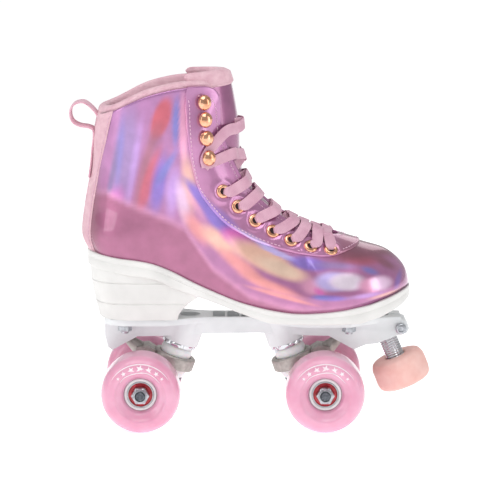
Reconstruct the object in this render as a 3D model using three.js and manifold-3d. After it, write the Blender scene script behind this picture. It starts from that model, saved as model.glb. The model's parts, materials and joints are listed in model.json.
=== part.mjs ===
// A quad roller skate (right foot) as a three.js scene graph, in millimetres, +Z up, toe towards +X.
import * as THREE from 'three';
import { mergeVertices } from 'three/addons/utils/BufferGeometryUtils.js';
import Module from 'manifold-3d';

const wasm = await Module();
wasm.setup();

// ---------------------------------------------------------------- driving dimensions

const GAP = 0.3; // between two pieces that touch
const RUNNING_GAP = 0.4; // between a turning piece and what it turns in

const WHEEL_DIAMETER = 65;
const WHEEL_WIDTH = 38;
const WHEEL_SHOULDER = 10; // radius of the tyre's rounded shoulder
const WHEELBASE = 152;
const TRACK = 84; // wheel centre to wheel centre across the skate
const CORE_WALL = 2;
const CORE_WIDTH = 24;
const BEARING_DIAMETER = 22;
const BEARING_BORE = 8;
const BEARING_WIDTH = 7;
const AXLE_NUT_FLATS = 13;
const AXLE_NUT_HEIGHT = 6.5;
const AXLE_TUBE_RADIUS = 7.5;

const KINGPIN_TILT = THREE.MathUtils.degToRad(20);
const KINGPIN_DIAMETER = 9.6;
const KINGPIN_NUT_FLATS = 14.3;
const KINGPIN_NUT_HEIGHT = 8;
const KINGPIN_HEAD_DIAMETER = 16;
const KINGPIN_HEAD_HEIGHT = 5;
const STEER_CLEARANCE = 2.6; // radial, between kingpin and the hanger's ring
const RING_DIAMETER = 36;
const RING_THICKNESS = 10.5;
const CUP_DEPTH = 2; // recess in each face of the ring that the cushion sits in
const CUSHION_DIAMETER = 26;
const CUSHION_HEIGHT = 9.6;
const UPPER_WASHER_DIAMETER = 29;
const UPPER_WASHER_THICKNESS = 3;
const LOWER_WASHER_DIAMETER = 24;
const LOWER_WASHER_THICKNESS = 2;
const PIVOT_BALL_DIAMETER = 10;
const PIVOT_CUP_WALL = 2.2;

const PLATE_RISE = 56.5; // plate top above the axles
const FLANGE_THICKNESS = 5;
const BEAM_HALF_WIDTH = 13.5;
const BOLT_DIAMETER = 6;
const BOLT_HEAD_DIAMETER = 12;
const BOLT_HEAD_HEIGHT = 3;
const MOUNT_NUT_FLATS = 10;
const MOUNT_NUT_HEIGHT = 5;

const STOP_DIAMETER = 46;
const STOP_HEIGHT = 26;
const STOP_STEM_DIAMETER = 16;
const STOP_STEM_LENGTH = 47;
const STOP_TILT = THREE.MathUtils.degToRad(22.7);
const PINCH_BOLT_DIAMETER = 6;

const BOOT_LENGTH = 272; // sole, toe to heel
const BOOT_WIDTH = 97; // sole, at the ball of the foot
const SHELL_THICKNESS = 2;
const EYESTAY_THICKNESS = 1.5;
const BACKSTAY_THICKNESS = 1.4;
const LINING_THICKNESS = 7;
const TONGUE_THICKNESS = 7;
const FOOTBED_THICKNESS = 4;
const SOLE_RIM = 3; // how far the sole stands out past the upper
const LACE_WIDTH = 9.5;
const LACE_THICKNESS = 1.4;
const LOOP_WIDTH = 19;
const LOOP_THICKNESS = 1.9;

// ---------------------------------------------------------------- derived places

const WHEEL_RADIUS = WHEEL_DIAMETER / 2;
const AXLE_Z = WHEEL_RADIUS;
const PLATE_TOP = AXLE_Z + PLATE_RISE;
const CORE_RADIUS = BEARING_DIAMETER / 2 + GAP + CORE_WALL;
const WHEEL_Y = TRACK / 2;
const HUB_INNER_Y = WHEEL_Y - CORE_WIDTH / 2;
const HUB_OUTER_Y = WHEEL_Y + CORE_WIDTH / 2;
const NUT_Y = HUB_OUTER_Y + GAP;

// places inside a truck, measured from its axle, x towards the middle of the skate
const RING_CENTRE = new THREE.Vector3(25.7, 0, 17.9);
const PIVOT_CENTRE = new THREE.Vector3(-16.5, 0, 38.9);
const KINGPIN_UP = new THREE.Vector3(Math.sin(KINGPIN_TILT), 0, Math.cos(KINGPIN_TILT));
const PIVOT_ARM = new THREE.Vector3(0.75, 0, -0.66).normalize();

// stations along the kingpin, from the ring's centre
const CUSHION_START = RING_THICKNESS / 2 - CUP_DEPTH + GAP;
const CUSHION_END = CUSHION_START + CUSHION_HEIGHT;
const UPPER_WASHER_START = CUSHION_END + GAP;
const BOSS_START = UPPER_WASHER_START + UPPER_WASHER_THICKNESS + GAP;
const HEAD_SEAT = BOSS_START + 11;
const LOWER_WASHER_START = CUSHION_END + GAP;
const KINGPIN_NUT_START = LOWER_WASHER_START + LOWER_WASHER_THICKNESS + GAP;

// toe stop: its axis leans forward going down, and follows the front axle
const STOP_DOWN = new THREE.Vector3(Math.sin(STOP_TILT), 0, -Math.cos(STOP_TILT));
const STOP_TOP = new THREE.Vector3(WHEELBASE / 2 + 60, 0, AXLE_Z + 21.5);
const STEM_IN_STOP = 17;

// ---------------------------------------------------------------- geometry helpers

const vec = (x, y, z) => new THREE.Vector3(x, y, z);

function manifoldOf(geometry) {
  let bare = geometry.clone();
  for (const name of Object.keys(bare.attributes)) {
    if (name !== 'position') bare.deleteAttribute(name);
  }
  bare = mergeVertices(bare, 1e-4);
  return new wasm.Manifold(new wasm.Mesh({
    numProp: 3,
    vertProperties: new Float32Array(bare.attributes.position.array),
    triVerts: new Uint32Array(bare.index.array),
  }));
}

function geometryFrom(manifold) {
  const mesh = manifold.getMesh();
  const geometry = new THREE.BufferGeometry();
  geometry.setAttribute('position', new THREE.BufferAttribute(new Float32Array(mesh.vertProperties), 3));
  geometry.setIndex(new THREE.BufferAttribute(new Uint32Array(mesh.triVerts), 1));
  return geometry;
}

function join(...geometries) {
  return geometryFrom(geometries.map(manifoldOf).reduce((a, b) => a.add(b)));
}

function cut(geometry, ...tools) {
  return geometryFrom(tools.map(manifoldOf).reduce((a, b) => a.subtract(b), manifoldOf(geometry)));
}

// a solid of revolution about the line through `start` along `direction`; profile is [radius, distance]
function revolve(profile, start, direction, segments = 18) {
  const points = profile.map(([radius, along]) => new THREE.Vector2(radius, along));
  let area = 0;
  points.forEach((p, i) => {
    const q = points[(i + 1) % points.length];
    area += p.x * q.y - q.x * p.y;
  });
  if (area < 0) points.reverse();
  const closed = points[0].x > 0 || points[points.length - 1].x > 0;
  if (closed) points.push(points[0].clone());
  const geometry = new THREE.LatheGeometry(points, segments);
  const turn = new THREE.Quaternion().setFromUnitVectors(vec(0, 1, 0), direction);
  geometry.applyQuaternion(turn);
  return geometry.translate(start.x, start.y, start.z);
}

function rod(radius, start, direction, from, to, segments = 16) {
  return revolve([[0, from], [radius, from], [radius, to], [0, to]], start, direction, segments);
}

function ring(inner, outer, start, direction, from, to, segments = 18) {
  return revolve([[inner, from], [outer, from], [outer, to], [inner, to]], start, direction, segments);
}

// a hexagonal nut, or a plain hexagon with no bore
function hexagon(flats, bore, start, direction, from, height) {
  const shape = new THREE.Shape();
  for (let i = 0; i < 6; i += 1) {
    const angle = (i * Math.PI) / 3;
    const radius = flats / Math.sqrt(3);
    shape[i ? 'lineTo' : 'moveTo'](radius * Math.cos(angle), radius * Math.sin(angle));
  }
  shape.closePath();
  if (bore) shape.holes.push(new THREE.Path().absarc(0, 0, bore / 2, 0, 2 * Math.PI, true));
  const geometry = new THREE.ExtrudeGeometry(shape, { depth: height, bevelEnabled: false, curveSegments: 6 });
  geometry.translate(0, 0, from);
  geometry.applyQuaternion(new THREE.Quaternion().setFromUnitVectors(vec(0, 0, 1), direction));
  return geometry.translate(start.x, start.y, start.z);
}

// a side view outline [[x, z], ...] made solid across Y
function sidePrism(outline, halfWidth) {
  const shape = new THREE.Shape(outline.map(([x, z]) => new THREE.Vector2(x, z)));
  const geometry = new THREE.ExtrudeGeometry(shape, { depth: 2 * halfWidth, bevelEnabled: false });
  return geometry.rotateX(Math.PI / 2).translate(0, halfWidth, 0);
}

// a plan view outline [[x, y], ...] made solid from one height to another
function planPrism(outline, low, high) {
  const shape = new THREE.Shape(outline.map(([x, y]) => new THREE.Vector2(x, y)));
  const geometry = new THREE.ExtrudeGeometry(shape, { depth: high - low, bevelEnabled: false });
  return geometry.translate(0, 0, low);
}

function block(x0, x1, halfWidth, z0, z1) {
  const geometry = new THREE.BoxGeometry(x1 - x0, 2 * halfWidth, z1 - z0);
  return geometry.translate((x0 + x1) / 2, 0, (z0 + z1) / 2);
}

// a closed body from a grid of points: rows of equal length, rows closed on themselves,
// and the first and last row either capped, rung by rung, or joined to each other
function skin(rows, joined = false) {
  const count = rows[0].length;
  const positions = rows.flat().flatMap((p) => [p.x, p.y, p.z]);
  const index = [];
  const last = joined ? rows.length : rows.length - 1;
  for (let i = 0; i < last; i += 1) {
    const a = i * count;
    const b = ((i + 1) % rows.length) * count;
    for (let j = 0; j < count; j += 1) {
      const k = (j + 1) % count;
      index.push(a + j, b + j, b + k, a + j, b + k, a + k);
    }
  }
  if (!joined) {
    const end = (rows.length - 1) * count;
    const cap = (a, b, c) => {
      if (a === b || b === c || a === c) return;
      index.push(a, b, c, end + a, end + c, end + b);
    };
    for (let j = 0; j < count / 2 - 1; j += 1) {
      cap(j, j + 1, count - 2 - j);
      cap(j, count - 2 - j, count - 1 - j);
    }
  }
  const geometry = new THREE.BufferGeometry();
  geometry.setAttribute('position', new THREE.Float32BufferAttribute(positions, 3));
  geometry.setIndex(index);
  if (signedVolume(geometry) < 0) {
    for (let t = 0; t < index.length; t += 3) [index[t], index[t + 1]] = [index[t + 1], index[t]];
    geometry.setIndex(index);
  }
  return geometry;
}

function signedVolume(geometry) {
  const p = geometry.attributes.position;
  const index = geometry.index.array;
  let volume = 0;
  for (let t = 0; t < index.length; t += 3) {
    const [a, b, c] = [0, 1, 2].map((k) => vec(0, 0, 0).fromBufferAttribute(p, index[t + k]));
    volume += a.dot(b.cross(c));
  }
  return volume;
}

// a value from [[x, value], ...], straight between the points
function along(table, x) {
  if (x <= table[0][0]) return table[0][1];
  for (let i = 1; i < table.length; i += 1) {
    if (x <= table[i][0]) {
      const [x0, v0] = table[i - 1];
      const [x1, v1] = table[i];
      return v0 + ((v1 - v0) * (x - x0)) / (x1 - x0);
    }
  }
  return table[table.length - 1][1];
}

// the point at `t` (in points) on a smooth curve through `points`
function smooth(points, t, closed = false) {
  const n = points.length;
  const i = Math.min(Math.floor(t), closed ? n - 1 : n - 2);
  const pick = (k) => {
    if (closed) return points[((k % n) + n) % n];
    if (k < 0) return points[0].clone().multiplyScalar(2).sub(points[1]);
    if (k >= n) return points[n - 1].clone().multiplyScalar(2).sub(points[n - 2]);
    return points[k];
  };
  const f = t - i;
  const [a, b, c, d] = [i - 1, i, i + 1, i + 2].map(pick);
  const weights = [
    -0.5 * f + f * f - 0.5 * f ** 3,
    1 - 2.5 * f * f + 1.5 * f ** 3,
    0.5 * f + 2 * f * f - 1.5 * f ** 3,
    -0.5 * f * f + 0.5 * f ** 3,
  ];
  const point = vec(0, 0, 0);
  [a, b, c, d].forEach((p, k) => point.addScaledVector(p, weights[k]));
  return point;
}

// a flat strip swept through points, each [point, direction that its face looks]
function strip(stations, width, thickness, steps) {
  const points = stations.map(([p]) => p);
  const faces = stations.map(([, n]) => n);
  const rows = [];
  const last = points.length - 1;
  for (let i = 0; i <= steps; i += 1) {
    const t = (i / steps) * last;
    const here = smooth(points, t);
    const ahead = smooth(points, Math.min(t + 0.02, last));
    const behind = smooth(points, Math.max(t - 0.02, 0));
    const forward = ahead.sub(behind).normalize();
    const side = forward.clone().cross(smooth(faces, t)).normalize();
    const up = side.clone().cross(forward).normalize();
    rows.push([[-1, 0], [1, 0], [1, 1], [-1, 1]].map(([s, h]) => here.clone()
      .addScaledVector(side, (s * width) / 2)
      .addScaledVector(up, h * thickness)));
  }
  return skin(rows);
}

// ---------------------------------------------------------------- boot: shape of the sole

// the tables below are drawn for a sole of this size, on a plate whose top is this high
const DRAWN_LENGTH = 272;
const DRAWN_WIDTH = 97;
const DRAWN_PLATE_TOP = 89;
const stretch = (x) => (x * BOOT_LENGTH) / DRAWN_LENGTH;
const widen = (y) => (y * BOOT_WIDTH) / DRAWN_WIDTH;
const fromPlate = (z) => z + PLATE_TOP - DRAWN_PLATE_TOP;
const FLAT = DRAWN_PLATE_TOP + GAP; // where the sole lies on the plate

// the sole from heel to toe: x, half width, height of its upper rim, height of its underside
const SOLE = [
  [-121, 5.0, 143.8, 133.5], [-119, 11.5, 143.5, 133.2], [-116, 17.0, 143.0, 132.6],
  [-111, 22.8, 142.2, 131.8], [-104, 27.6, 141.1, 130.6], [-94, 31.4, 139.7, 129.0],
  [-80, 33.6, 138.3, 127.1], [-68, 33.5, 136.0, 125.3], [-59, 33.2, 133.0, 122.2],
  [-49, 32.4, 128.5, 117.0], [-36, 31.7, 121.4, 112.1], [-23, 31.5, 115.1, 107.5],
  [-9, 32.6, 109.2, 102.4], [4, 34.5, 104.3, 97.3], [18, 37.7, 100.6, 92.9], [32, 41.4, 97.9, FLAT],
  [48, 45.2, 96.2, FLAT], [64, 48.1, 96.4, FLAT], [80, 48.5, 97.6, FLAT], [92, 47.1, 98.9, FLAT],
  [104, 44.4, 100.9, FLAT], [113, 41.4, 102.5, 91.3], [122, 37.4, 104.9, 93.4], [131, 31.4, 107.3, 96.8],
  [138, 24.5, 109.4, 99.4], [143, 17.5, 111.0, 102.3], [146, 11.0, 111.9, 104.2],
  [147.5, 5.0, 112.3, 105.2],
].map(([x, half, high, low]) => ({ x: stretch(x), half: widen(half), high: fromPlate(high), low: fromPlate(low) }));
const soleHigh = (x) => along(SOLE.map((row) => [row.x, row.high]), x);
const soleLow = (x) => along(SOLE.map((row) => [row.x, row.low]), x);

// the toe turns a little towards the inner side of the foot
const lean = (x) => 4 * THREE.MathUtils.smoothstep(x, 40, 150);

// a layer with the sole's outline, drawn in by `inset` and ending where it gets narrower than `narrowest`
function soleLayer(inset, narrowest, lowOf, highOf, edge) {
  const rows = SOLE.filter(({ half }) => half > inset + narrowest).map((row) => {
    const w = row.half - inset;
    const low = lowOf(row);
    const high = highOf(row);
    const centre = lean(row.x);
    return [
      [-w + edge, low], [w - edge, low], [w, low + edge], [w, high - edge],
      [w - edge, high], [-w + edge, high], [-w, high - edge], [-w, low + edge],
    ].map(([y, z]) => vec(row.x, y + centre, z));
  });
  return skin(rows);
}

// ---------------------------------------------------------------- boot: shape of the upper

// Guide lines of the outer half, from the middle of the toe to the middle of the heel. Each runs from the
// sole up to the top line (throat edge, then collar), as x, half width, height.
const GUIDES = [
  [[143.5, 0, 0], [146.8, 0, 117], [142.2, 0, 131], [128, 0, 144.2], [108, 0, 150.8], [88, 0, 156.6]],
  [[134.5, 21, 0], [137.8, 23.5, 117], [132.5, 21.8, 131], [120, 16.5, 143], [103.5, 10.5, 150.5], [86, 6.5, 157]],
  [[116, 36, 0], [118.5, 40, 113.5], [114.5, 37.5, 128], [104.5, 29, 140.6], [91.5, 20, 150.3], [79, 12, 158]],
  [[90, 43.8, 0], [91, 47.2, 110], [88, 44.8, 123.5], [82, 36.8, 137.2], [74, 26.5, 149.5], [67, 14.6, 160.8]],
  [[60, 43.6, 0], [60, 47, 109], [57.5, 44.2, 124], [53.5, 37.3, 141], [49.5, 27.4, 156.8], [51, 15.2, 168]],
  [[30, 37, 0], [29, 40.2, 112], [26.5, 38.8, 130], [23.5, 34.8, 149], [25, 27.2, 168], [33.5, 16, 179]],
  [[13, 33.6, 0], [12.6, 37, 116], [11, 36.6, 136], [9.5, 34, 157], [12, 27.2, 178], [18, 16.4, 193]],
  [[-4, 30.6, 0], [-4.4, 34.4, 124], [-6, 34.6, 147], [-7, 33.2, 172], [-4, 28, 196], [5, 17.2, 210.5]],
  [[-23, 28.6, 0], [-23.6, 32.8, 134], [-25, 33.8, 162], [-25.5, 33.6, 194], [-21, 31, 225], [-9.5, 20, 248]],
  [[-43, 29, 0], [-43.4, 33.6, 145], [-43.5, 34.4, 177], [-39.5, 34.6, 211], [-29.5, 33.8, 248], [-13.5, 22.5, 279]],
  [[-62, 30.6, 0], [-62.4, 34.8, 152], [-60.5, 34.4, 183], [-56, 34.8, 217], [-47, 35.6, 252], [-37, 32.5, 283.5]],
  [[-84, 30.2, 0], [-85.4, 33.6, 155], [-84, 32.6, 185], [-79, 33, 217], [-73, 36, 249], [-67.6, 36.6, 277.6]],
  [[-103, 25.2, 0], [-106, 27.2, 158], [-104.2, 25.4, 185], [-99.6, 26, 214], [-96, 30.6, 242], [-92, 33.4, 267]],
  [[-113, 16, 0], [-117.6, 16.6, 159], [-115.4, 14.8, 185], [-110.8, 15.4, 214], [-108, 19, 240], [-105.5, 21, 261]],
  [[-117.5, 0, 0], [-124, 0, 159], [-121, 0, 186], [-116, 0, 214], [-114, 0, 240], [-110, 0, 260]],
];
const LEVELS = GUIDES[0].length - 1;
const HALF = GUIDES.length - 1; // guide number of the heel

function guidePoint([x, half, height], side) {
  const px = stretch(x);
  const z = height === 0 ? soleHigh(px) + 2 * GAP : fromPlate(height);
  return vec(px, side * widen(half) + lean(px), z);
}

const LOOP_GUIDES = [
  ...GUIDES.map((guide) => guide.map((p) => guidePoint(p, -1))),
  ...GUIDES.slice(1, HALF).reverse().map((guide) => guide.map((p) => guidePoint(p, 1))),
];

// the upper's outer face: `around` counts guides from the toe by the outer side, `up` runs 0 to 1
function upperPoint(around, up) {
  const n = LOOP_GUIDES.length;
  const turn = ((around % n) + n) % n;
  const column = [];
  for (let level = 0; level <= LEVELS; level += 1) {
    column.push(smooth(LOOP_GUIDES.map((guide) => guide[level]), turn, true));
  }
  return smooth(column, up * LEVELS);
}

function upperNormal(around, up) {
  const step = 0.05;
  const low = Math.max(up - step / 2, 0);
  const high = Math.min(up + step / 2, 1);
  const across = upperPoint(around + step, up).sub(upperPoint(around - step, up));
  const rise = upperPoint(around, high).sub(upperPoint(around, low));
  return rise.cross(across).normalize();
}

function offsetPoint(around, up, offset) {
  return upperPoint(around, up).addScaledVector(upperNormal(around, up), offset);
}

// A patch of the upper between two offsets. `arounds` is a list of guide numbers; `lowest` and `highest`
// give the patch's edges, up the guide, at each.
function upperPatch(arounds, lowest, highest, inner, outer, rowsUp, joined = false) {
  const rows = arounds.map((around) => {
    const low = lowest(around);
    const high = highest(around);
    const outside = [];
    const inside = [];
    for (let i = 0; i <= rowsUp; i += 1) {
      const up = low + ((high - low) * i) / rowsUp;
      outside.push(offsetPoint(around, up, outer));
      inside.unshift(offsetPoint(around, up, inner));
    }
    return [...outside, ...inside];
  });
  return skin(rows, joined);
}

const SHELL_ROWS = 8;
const range = (from, to, count) => Array.from({ length: count + 1 }, (_, i) => from + ((to - from) * i) / count);

// Every piece that lies on the shell is drawn at the shell's own guide numbers, so that their facets match.
const GUIDE_STEP = 2 / 3;
const guides = (from, to) => range(from * GUIDE_STEP, to * GUIDE_STEP, to - from);
const WHOLE_LOOP = guides(0, LOOP_GUIDES.length / GUIDE_STEP).slice(0, -1);
const COLLAR_START = 14; // in steps, where the collar begins behind the facings
const COLLAR_END = LOOP_GUIDES.length / GUIDE_STEP - COLLAR_START;

// ---------------------------------------------------------------- boot: pieces

// the shell swollen by a clearance, to cut what lies on it
const aroundShell = (clearance) => upperPatch(
  WHOLE_LOOP, () => 0, () => 1.01, -SHELL_THICKNESS - clearance, clearance, SHELL_ROWS, true,
);

function upperShell() {
  return upperPatch(WHOLE_LOOP, () => 0, () => 1, -SHELL_THICKNESS, 0, SHELL_ROWS, true);
}

// the lower edge of the eyestay, up each guide from the toe to where it leaves at the collar
const EYESTAY_EDGE = [
  [0, 0.84], [1, 0.79], [2, 0.73], [3, 0.7], [4, 0.67], [5, 0.66], [6, 0.64], [7, 0.62], [8, 0.62],
  [9, 0.72], [9.5, 0.84],
];

function eyestay() {
  const arounds = guides(-COLLAR_START, COLLAR_START);
  const lowest = (around) => along(EYESTAY_EDGE, Math.abs(around));
  const body = upperPatch(arounds, lowest, () => 1, -SHELL_THICKNESS / 2, GAP + EYESTAY_THICKNESS, 3);
  return cut(body, aroundShell(GAP));
}

// the front edge of the backstay, as a guide number against height
const BACKSTAY_EDGE = [[0, 12.9], [0.2, 12.75], [0.4, 12.7], [0.6, 12.55], [0.8, 12.1], [1, 11.9]];

function backstay() {
  const ups = [0.03, ...range(0, 1, SHELL_ROWS).slice(1)];
  const rows = ups.map((up) => {
    const edge = along(BACKSTAY_EDGE, up);
    const half = [edge, (edge + HALF - GUIDE_STEP) / 2, HALF - GUIDE_STEP, HALF];
    const arounds = [...half, ...half.slice(0, -1).reverse().map((around) => 2 * HALF - around)];
    const outside = arounds.map((around) => offsetPoint(around, up, GAP + BACKSTAY_THICKNESS));
    const inside = arounds.reverse().map((around) => offsetPoint(around, up, 0));
    return [...outside, ...inside];
  });
  return cut(skin(rows), aroundShell(GAP));
}

// padded band inside the collar, rolled a little over the top line
function collarLining() {
  const arounds = guides(COLLAR_START, COLLAR_END);
  const out = -SHELL_THICKNESS - GAP;
  const rows = arounds.map((around) => {
    const top = upperPoint(around, 1);
    const rise = upperPoint(around, 1).sub(upperPoint(around, 0.97)).normalize();
    const normal = upperNormal(around, 1);
    const over = (height, depth) => top.clone().addScaledVector(rise, height).addScaledVector(normal, depth);
    return [
      offsetPoint(around, 0.875, out + 1), offsetPoint(around, 1, out + 1), over(1, out + 0.6),
      over(3, out - 1.6), over(3.4, out - 4), over(1.6, out - LINING_THICKNESS),
      offsetPoint(around, 0.94, out - LINING_THICKNESS - 1), offsetPoint(around, 0.875, out - 2.5),
    ];
  });
  return cut(skin(rows), aroundShell(GAP));
}

// The tongue's front face along its middle, as x, z, half width, how far its edges fall back and the
// direction that its face looks. It runs from under the toe end of the throat to its free top.
const TONGUE = [
  [97, 150.4, 9, 1.5, 75], [84, 154.6, 17, 4, 68], [66, 161.2, 24, 8, 62], [49, 169.5, 26, 12, 56],
  [33, 180.5, 27, 14, 48], [18, 194.5, 27, 15.5, 40], [8.5, 210, 27, 17, 25], [6, 226, 25, 17, 8],
  [5.2, 248, 24, 18, 6], [2.2, 268, 23, 18, 9], [-2, 285, 23, 18.5, 20], [-8, 297.6, 26, 20, 46],
];

function tongueSolid() {
  const acrossCount = 7;
  const rows = TONGUE.map(([x, z, half, fall, lookDegrees], i) => {
    const look = THREE.MathUtils.degToRad(lookDegrees);
    const normal = vec(Math.cos(look), 0, Math.sin(look));
    const thickness = i === 0 ? 2.5 : TONGUE_THICKNESS + (i === TONGUE.length - 1 ? 4 : 0);
    const face = (depth, shrink) => range(-1, 1, acrossCount).map((t) => vec(
      stretch(x),
      widen(half) * shrink * t + lean(stretch(x)),
      fromPlate(z),
    ).addScaledVector(normal, -depth - fall * shrink * Math.abs(t) ** 2.2));
    return [...face(0, 1), ...face(thickness, 0.93).reverse()];
  });
  return skin(rows);
}

function tongue() {
  const keepOut = upperPatch(
    WHOLE_LOOP, () => 0, () => 1.01, -SHELL_THICKNESS - 2 * GAP, 16, SHELL_ROWS, true,
  );
  const collarRoom = upperPatch(
    guides(COLLAR_START - 1, COLLAR_END + 1), () => 0.8, () => 1.06, -SHELL_THICKNESS - LINING_THICKNESS - 4, 3, 4,
  );
  return cut(tongueSolid(), keepOut, collarRoom);
}

// places of the eyelets on the outer half, as guide number and distance up it, toe end first
const EYELETS = [[2.55, 0.79], [3.3, 0.8], [4.1, 0.79], [4.85, 0.79], [5.6, 0.8], [6.25, 0.81], [6.9, 0.82]];
const HOOKS = [[7.72, 0.86], [8.15, 0.87], [8.55, 0.89], [8.9, 0.92]];
const LACE_LIFT = 4.4 * GAP + EYESTAY_THICKNESS;

const laceStop = ([around, up], side, lift) => {
  const turn = side < 0 ? around : -around;
  return [offsetPoint(turn, up, LACE_LIFT + lift), upperNormal(turn, up)];
};

// the tongue's front face nearest to a point in the middle plane, seen along `lookOut`
function tongueAt(point, lookOut) {
  const line = TONGUE.map(([x, z, half, fall]) => [vec(stretch(x), 0, fromPlate(z)), vec(half, fall, 0)]);
  const rise = vec(-lookOut.z, 0, lookOut.x);
  let best = null;
  for (const t of range(0, line.length - 1, 80)) {
    const front = smooth(line.map(([p]) => p), t);
    const aside = Math.abs(front.clone().sub(point).dot(rise));
    if (!best || aside < best.aside) {
      const size = smooth(line.map(([, q]) => q), t);
      best = { aside, out: front.clone().sub(point).dot(lookOut), half: widen(size.x), fall: size.y };
    }
  }
  return best;
}

// the lace's path from one side of the throat to the other, over the tongue
function crossing(from, fromSide, to, toSide, extra = 0) {
  const ends = [[from, fromSide], [to, toSide]];
  const [start, end] = ends.map(([stop, side]) => laceStop(stop, side, extra));
  const [nearEdge, farEdge] = ends.map(([[around], side]) => laceStop([around, 0.985], side, 1.5 + extra));
  const lookOut = nearEdge[1].clone().add(farEdge[1]).setY(0).normalize();
  const between = (t) => {
    const point = nearEdge[0].clone().lerp(farEdge[0], t);
    const middle = vec(point.x, 0, point.z);
    const { out, half, fall } = tongueAt(middle, lookOut);
    const bulge = out - fall * Math.abs((point.y - lean(point.x)) / half) ** 2.2;
    const look = lookOut.clone().setY(point.y / 45).normalize();
    return [point.addScaledVector(lookOut, Math.max(bulge, 0) + 3.8 + extra), look];
  };
  return strip(
    [start, nearEdge, between(0.25), between(0.5), between(0.75), farEdge, end], LACE_WIDTH, LACE_THICKNESS, 6,
  );
}

const OVER = LACE_THICKNESS / 2; // how much higher the upper strand of each crossing lies

function lace() {
  const strands = [crossing(EYELETS[0], -1, EYELETS[0], 1)];
  for (let i = 0; i < EYELETS.length - 1; i += 1) {
    strands.push(crossing(EYELETS[i], -1, EYELETS[i + 1], 1, OVER));
    strands.push(crossing(EYELETS[i], 1, EYELETS[i + 1], -1));
  }
  const top = EYELETS[EYELETS.length - 1];
  strands.push(crossing(top, -1, HOOKS[0], 1, OVER));
  strands.push(crossing(top, 1, HOOKS[0], -1));
  return join(...strands);
}

// webbing loop at the heel: sewn to the backstay, out and round, and back to the collar
const LOOP_PATH = [
  [-119.8, 206], [-118.2, 218], [-117, 232], [-116.8, 241], [-120.5, 245.8], [-127.5, 247.8], [-133.6, 252],
  [-136.8, 258.6], [-135.4, 265.4], [-129.4, 268.8], [-122.4, 266.6], [-118.4, 260.4], [-117, 253],
];

function pullLoop() {
  const points = LOOP_PATH.map(([x, z]) => vec(stretch(x), 0, fromPlate(z)));
  const stations = points.map((p, i) => {
    const ahead = points[Math.min(i + 1, points.length - 1)];
    const behind = points[Math.max(i - 1, 0)];
    const forward = ahead.clone().sub(behind).normalize();
    return [p, vec(-forward.z, 0, forward.x)];
  });
  return strip(stations, LOOP_WIDTH, LOOP_THICKNESS, 24);
}

// ---------------------------------------------------------------- sole, heel, plate

const FRONT_BOLT = { x: WHEELBASE / 2 + 20.4, y: 22 };
const REAR_BOLT = { x: -WHEELBASE / 2 - 14, y: 19 };
const BOLTS = [
  { name: 'bolt_front_outer', ...FRONT_BOLT, side: -1 },
  { name: 'bolt_front_inner', ...FRONT_BOLT, side: 1 },
  { name: 'bolt_rear_outer', ...REAR_BOLT, side: -1 },
  { name: 'bolt_rear_inner', ...REAR_BOLT, side: 1 },
];

const UP = vec(0, 0, 1);
const headSeat = (x) => soleHigh(x) - BOLT_HEAD_HEIGHT - 1.6;

function boltHoles(low, high) {
  return BOLTS.map(({ x, y, side }) => (
    rod(BOLT_DIAMETER / 2 + GAP, vec(x, side * y, 0), UP, low, high, 12)));
}

function boltHeadPockets() {
  return BOLTS.map(({ x, y, side }) => (
    rod(BOLT_HEAD_DIAMETER / 2 + GAP, vec(x, side * y, 0), UP, headSeat(x), headSeat(x) + 30, 12)));
}

function outsole() {
  const body = soleLayer(0, 3, (row) => row.low, (row) => row.high, 1.4);
  return cut(body, ...boltHoles(60, 160), ...boltHeadPockets());
}

function footbed() {
  const inset = SOLE_RIM + SHELL_THICKNESS + 4.5;
  return soleLayer(inset, 16, (row) => row.high + GAP, (row) => row.high + GAP + FOOTBED_THICKNESS, 0.8);
}

// outlines of the heel block from the plate up: height, back end, front end, half width
const HEEL_LEVELS = [
  [FLAT, -112, -46, 28.6], [94, -113, -44.6, 29], [99, -114.4, -41, 29.4], [102.2, -115, -37.4, 29.6],
  [103, -114.4, -36.6, 28.9], [103.8, -115.4, -35.6, 29.7], [110, -116.8, -27, 30.2], [118, -118, -14, 30.8],
  [120.2, -118.3, -11, 31], [121, -117.8, -10, 30.3], [121.8, -118.5, -9, 31.1], [136, -119.5, 0, 31.6],
];

function heelBlock() {
  const rows = HEEL_LEVELS.map(([z, back, front, half]) => {
    const w = widen(half);
    const centre = stretch(back) + 0.95 * w;
    const outline = [];
    for (const angle of range(-90, 90, 12)) {
      const a = THREE.MathUtils.degToRad(angle);
      outline.push(vec(centre - 0.95 * w * Math.cos(a), w * Math.sin(a), fromPlate(z)));
    }
    outline.push(vec(stretch(front), w * 0.97, fromPlate(z)));
    outline.push(vec(stretch(front), -w * 0.97, fromPlate(z)));
    return outline;
  });
  const soleRoom = sidePrism(
    [...SOLE.map(({ x, low }) => [x, low - GAP]), [stretch(150), 200], [stretch(-130), 200],
      [stretch(-130), SOLE[0].low - GAP]], 60,
  );
  const body = skin(rows);
  return cut(body, soleRoom, ...boltHoles(60, 160));
}

// points of a truck, from its axle, on the skate: `end` is -1 at the heel and 1 at the toe
const onTruck = (x, z, end) => [end * (WHEELBASE / 2 - x), AXLE_Z + z];
const truckVector = (v, end) => vec(end * (WHEELBASE / 2 - v.x), v.y, AXLE_Z + v.z);
const truckDirection = (v, end) => vec(-end * v.x, v.y, v.z);

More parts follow.
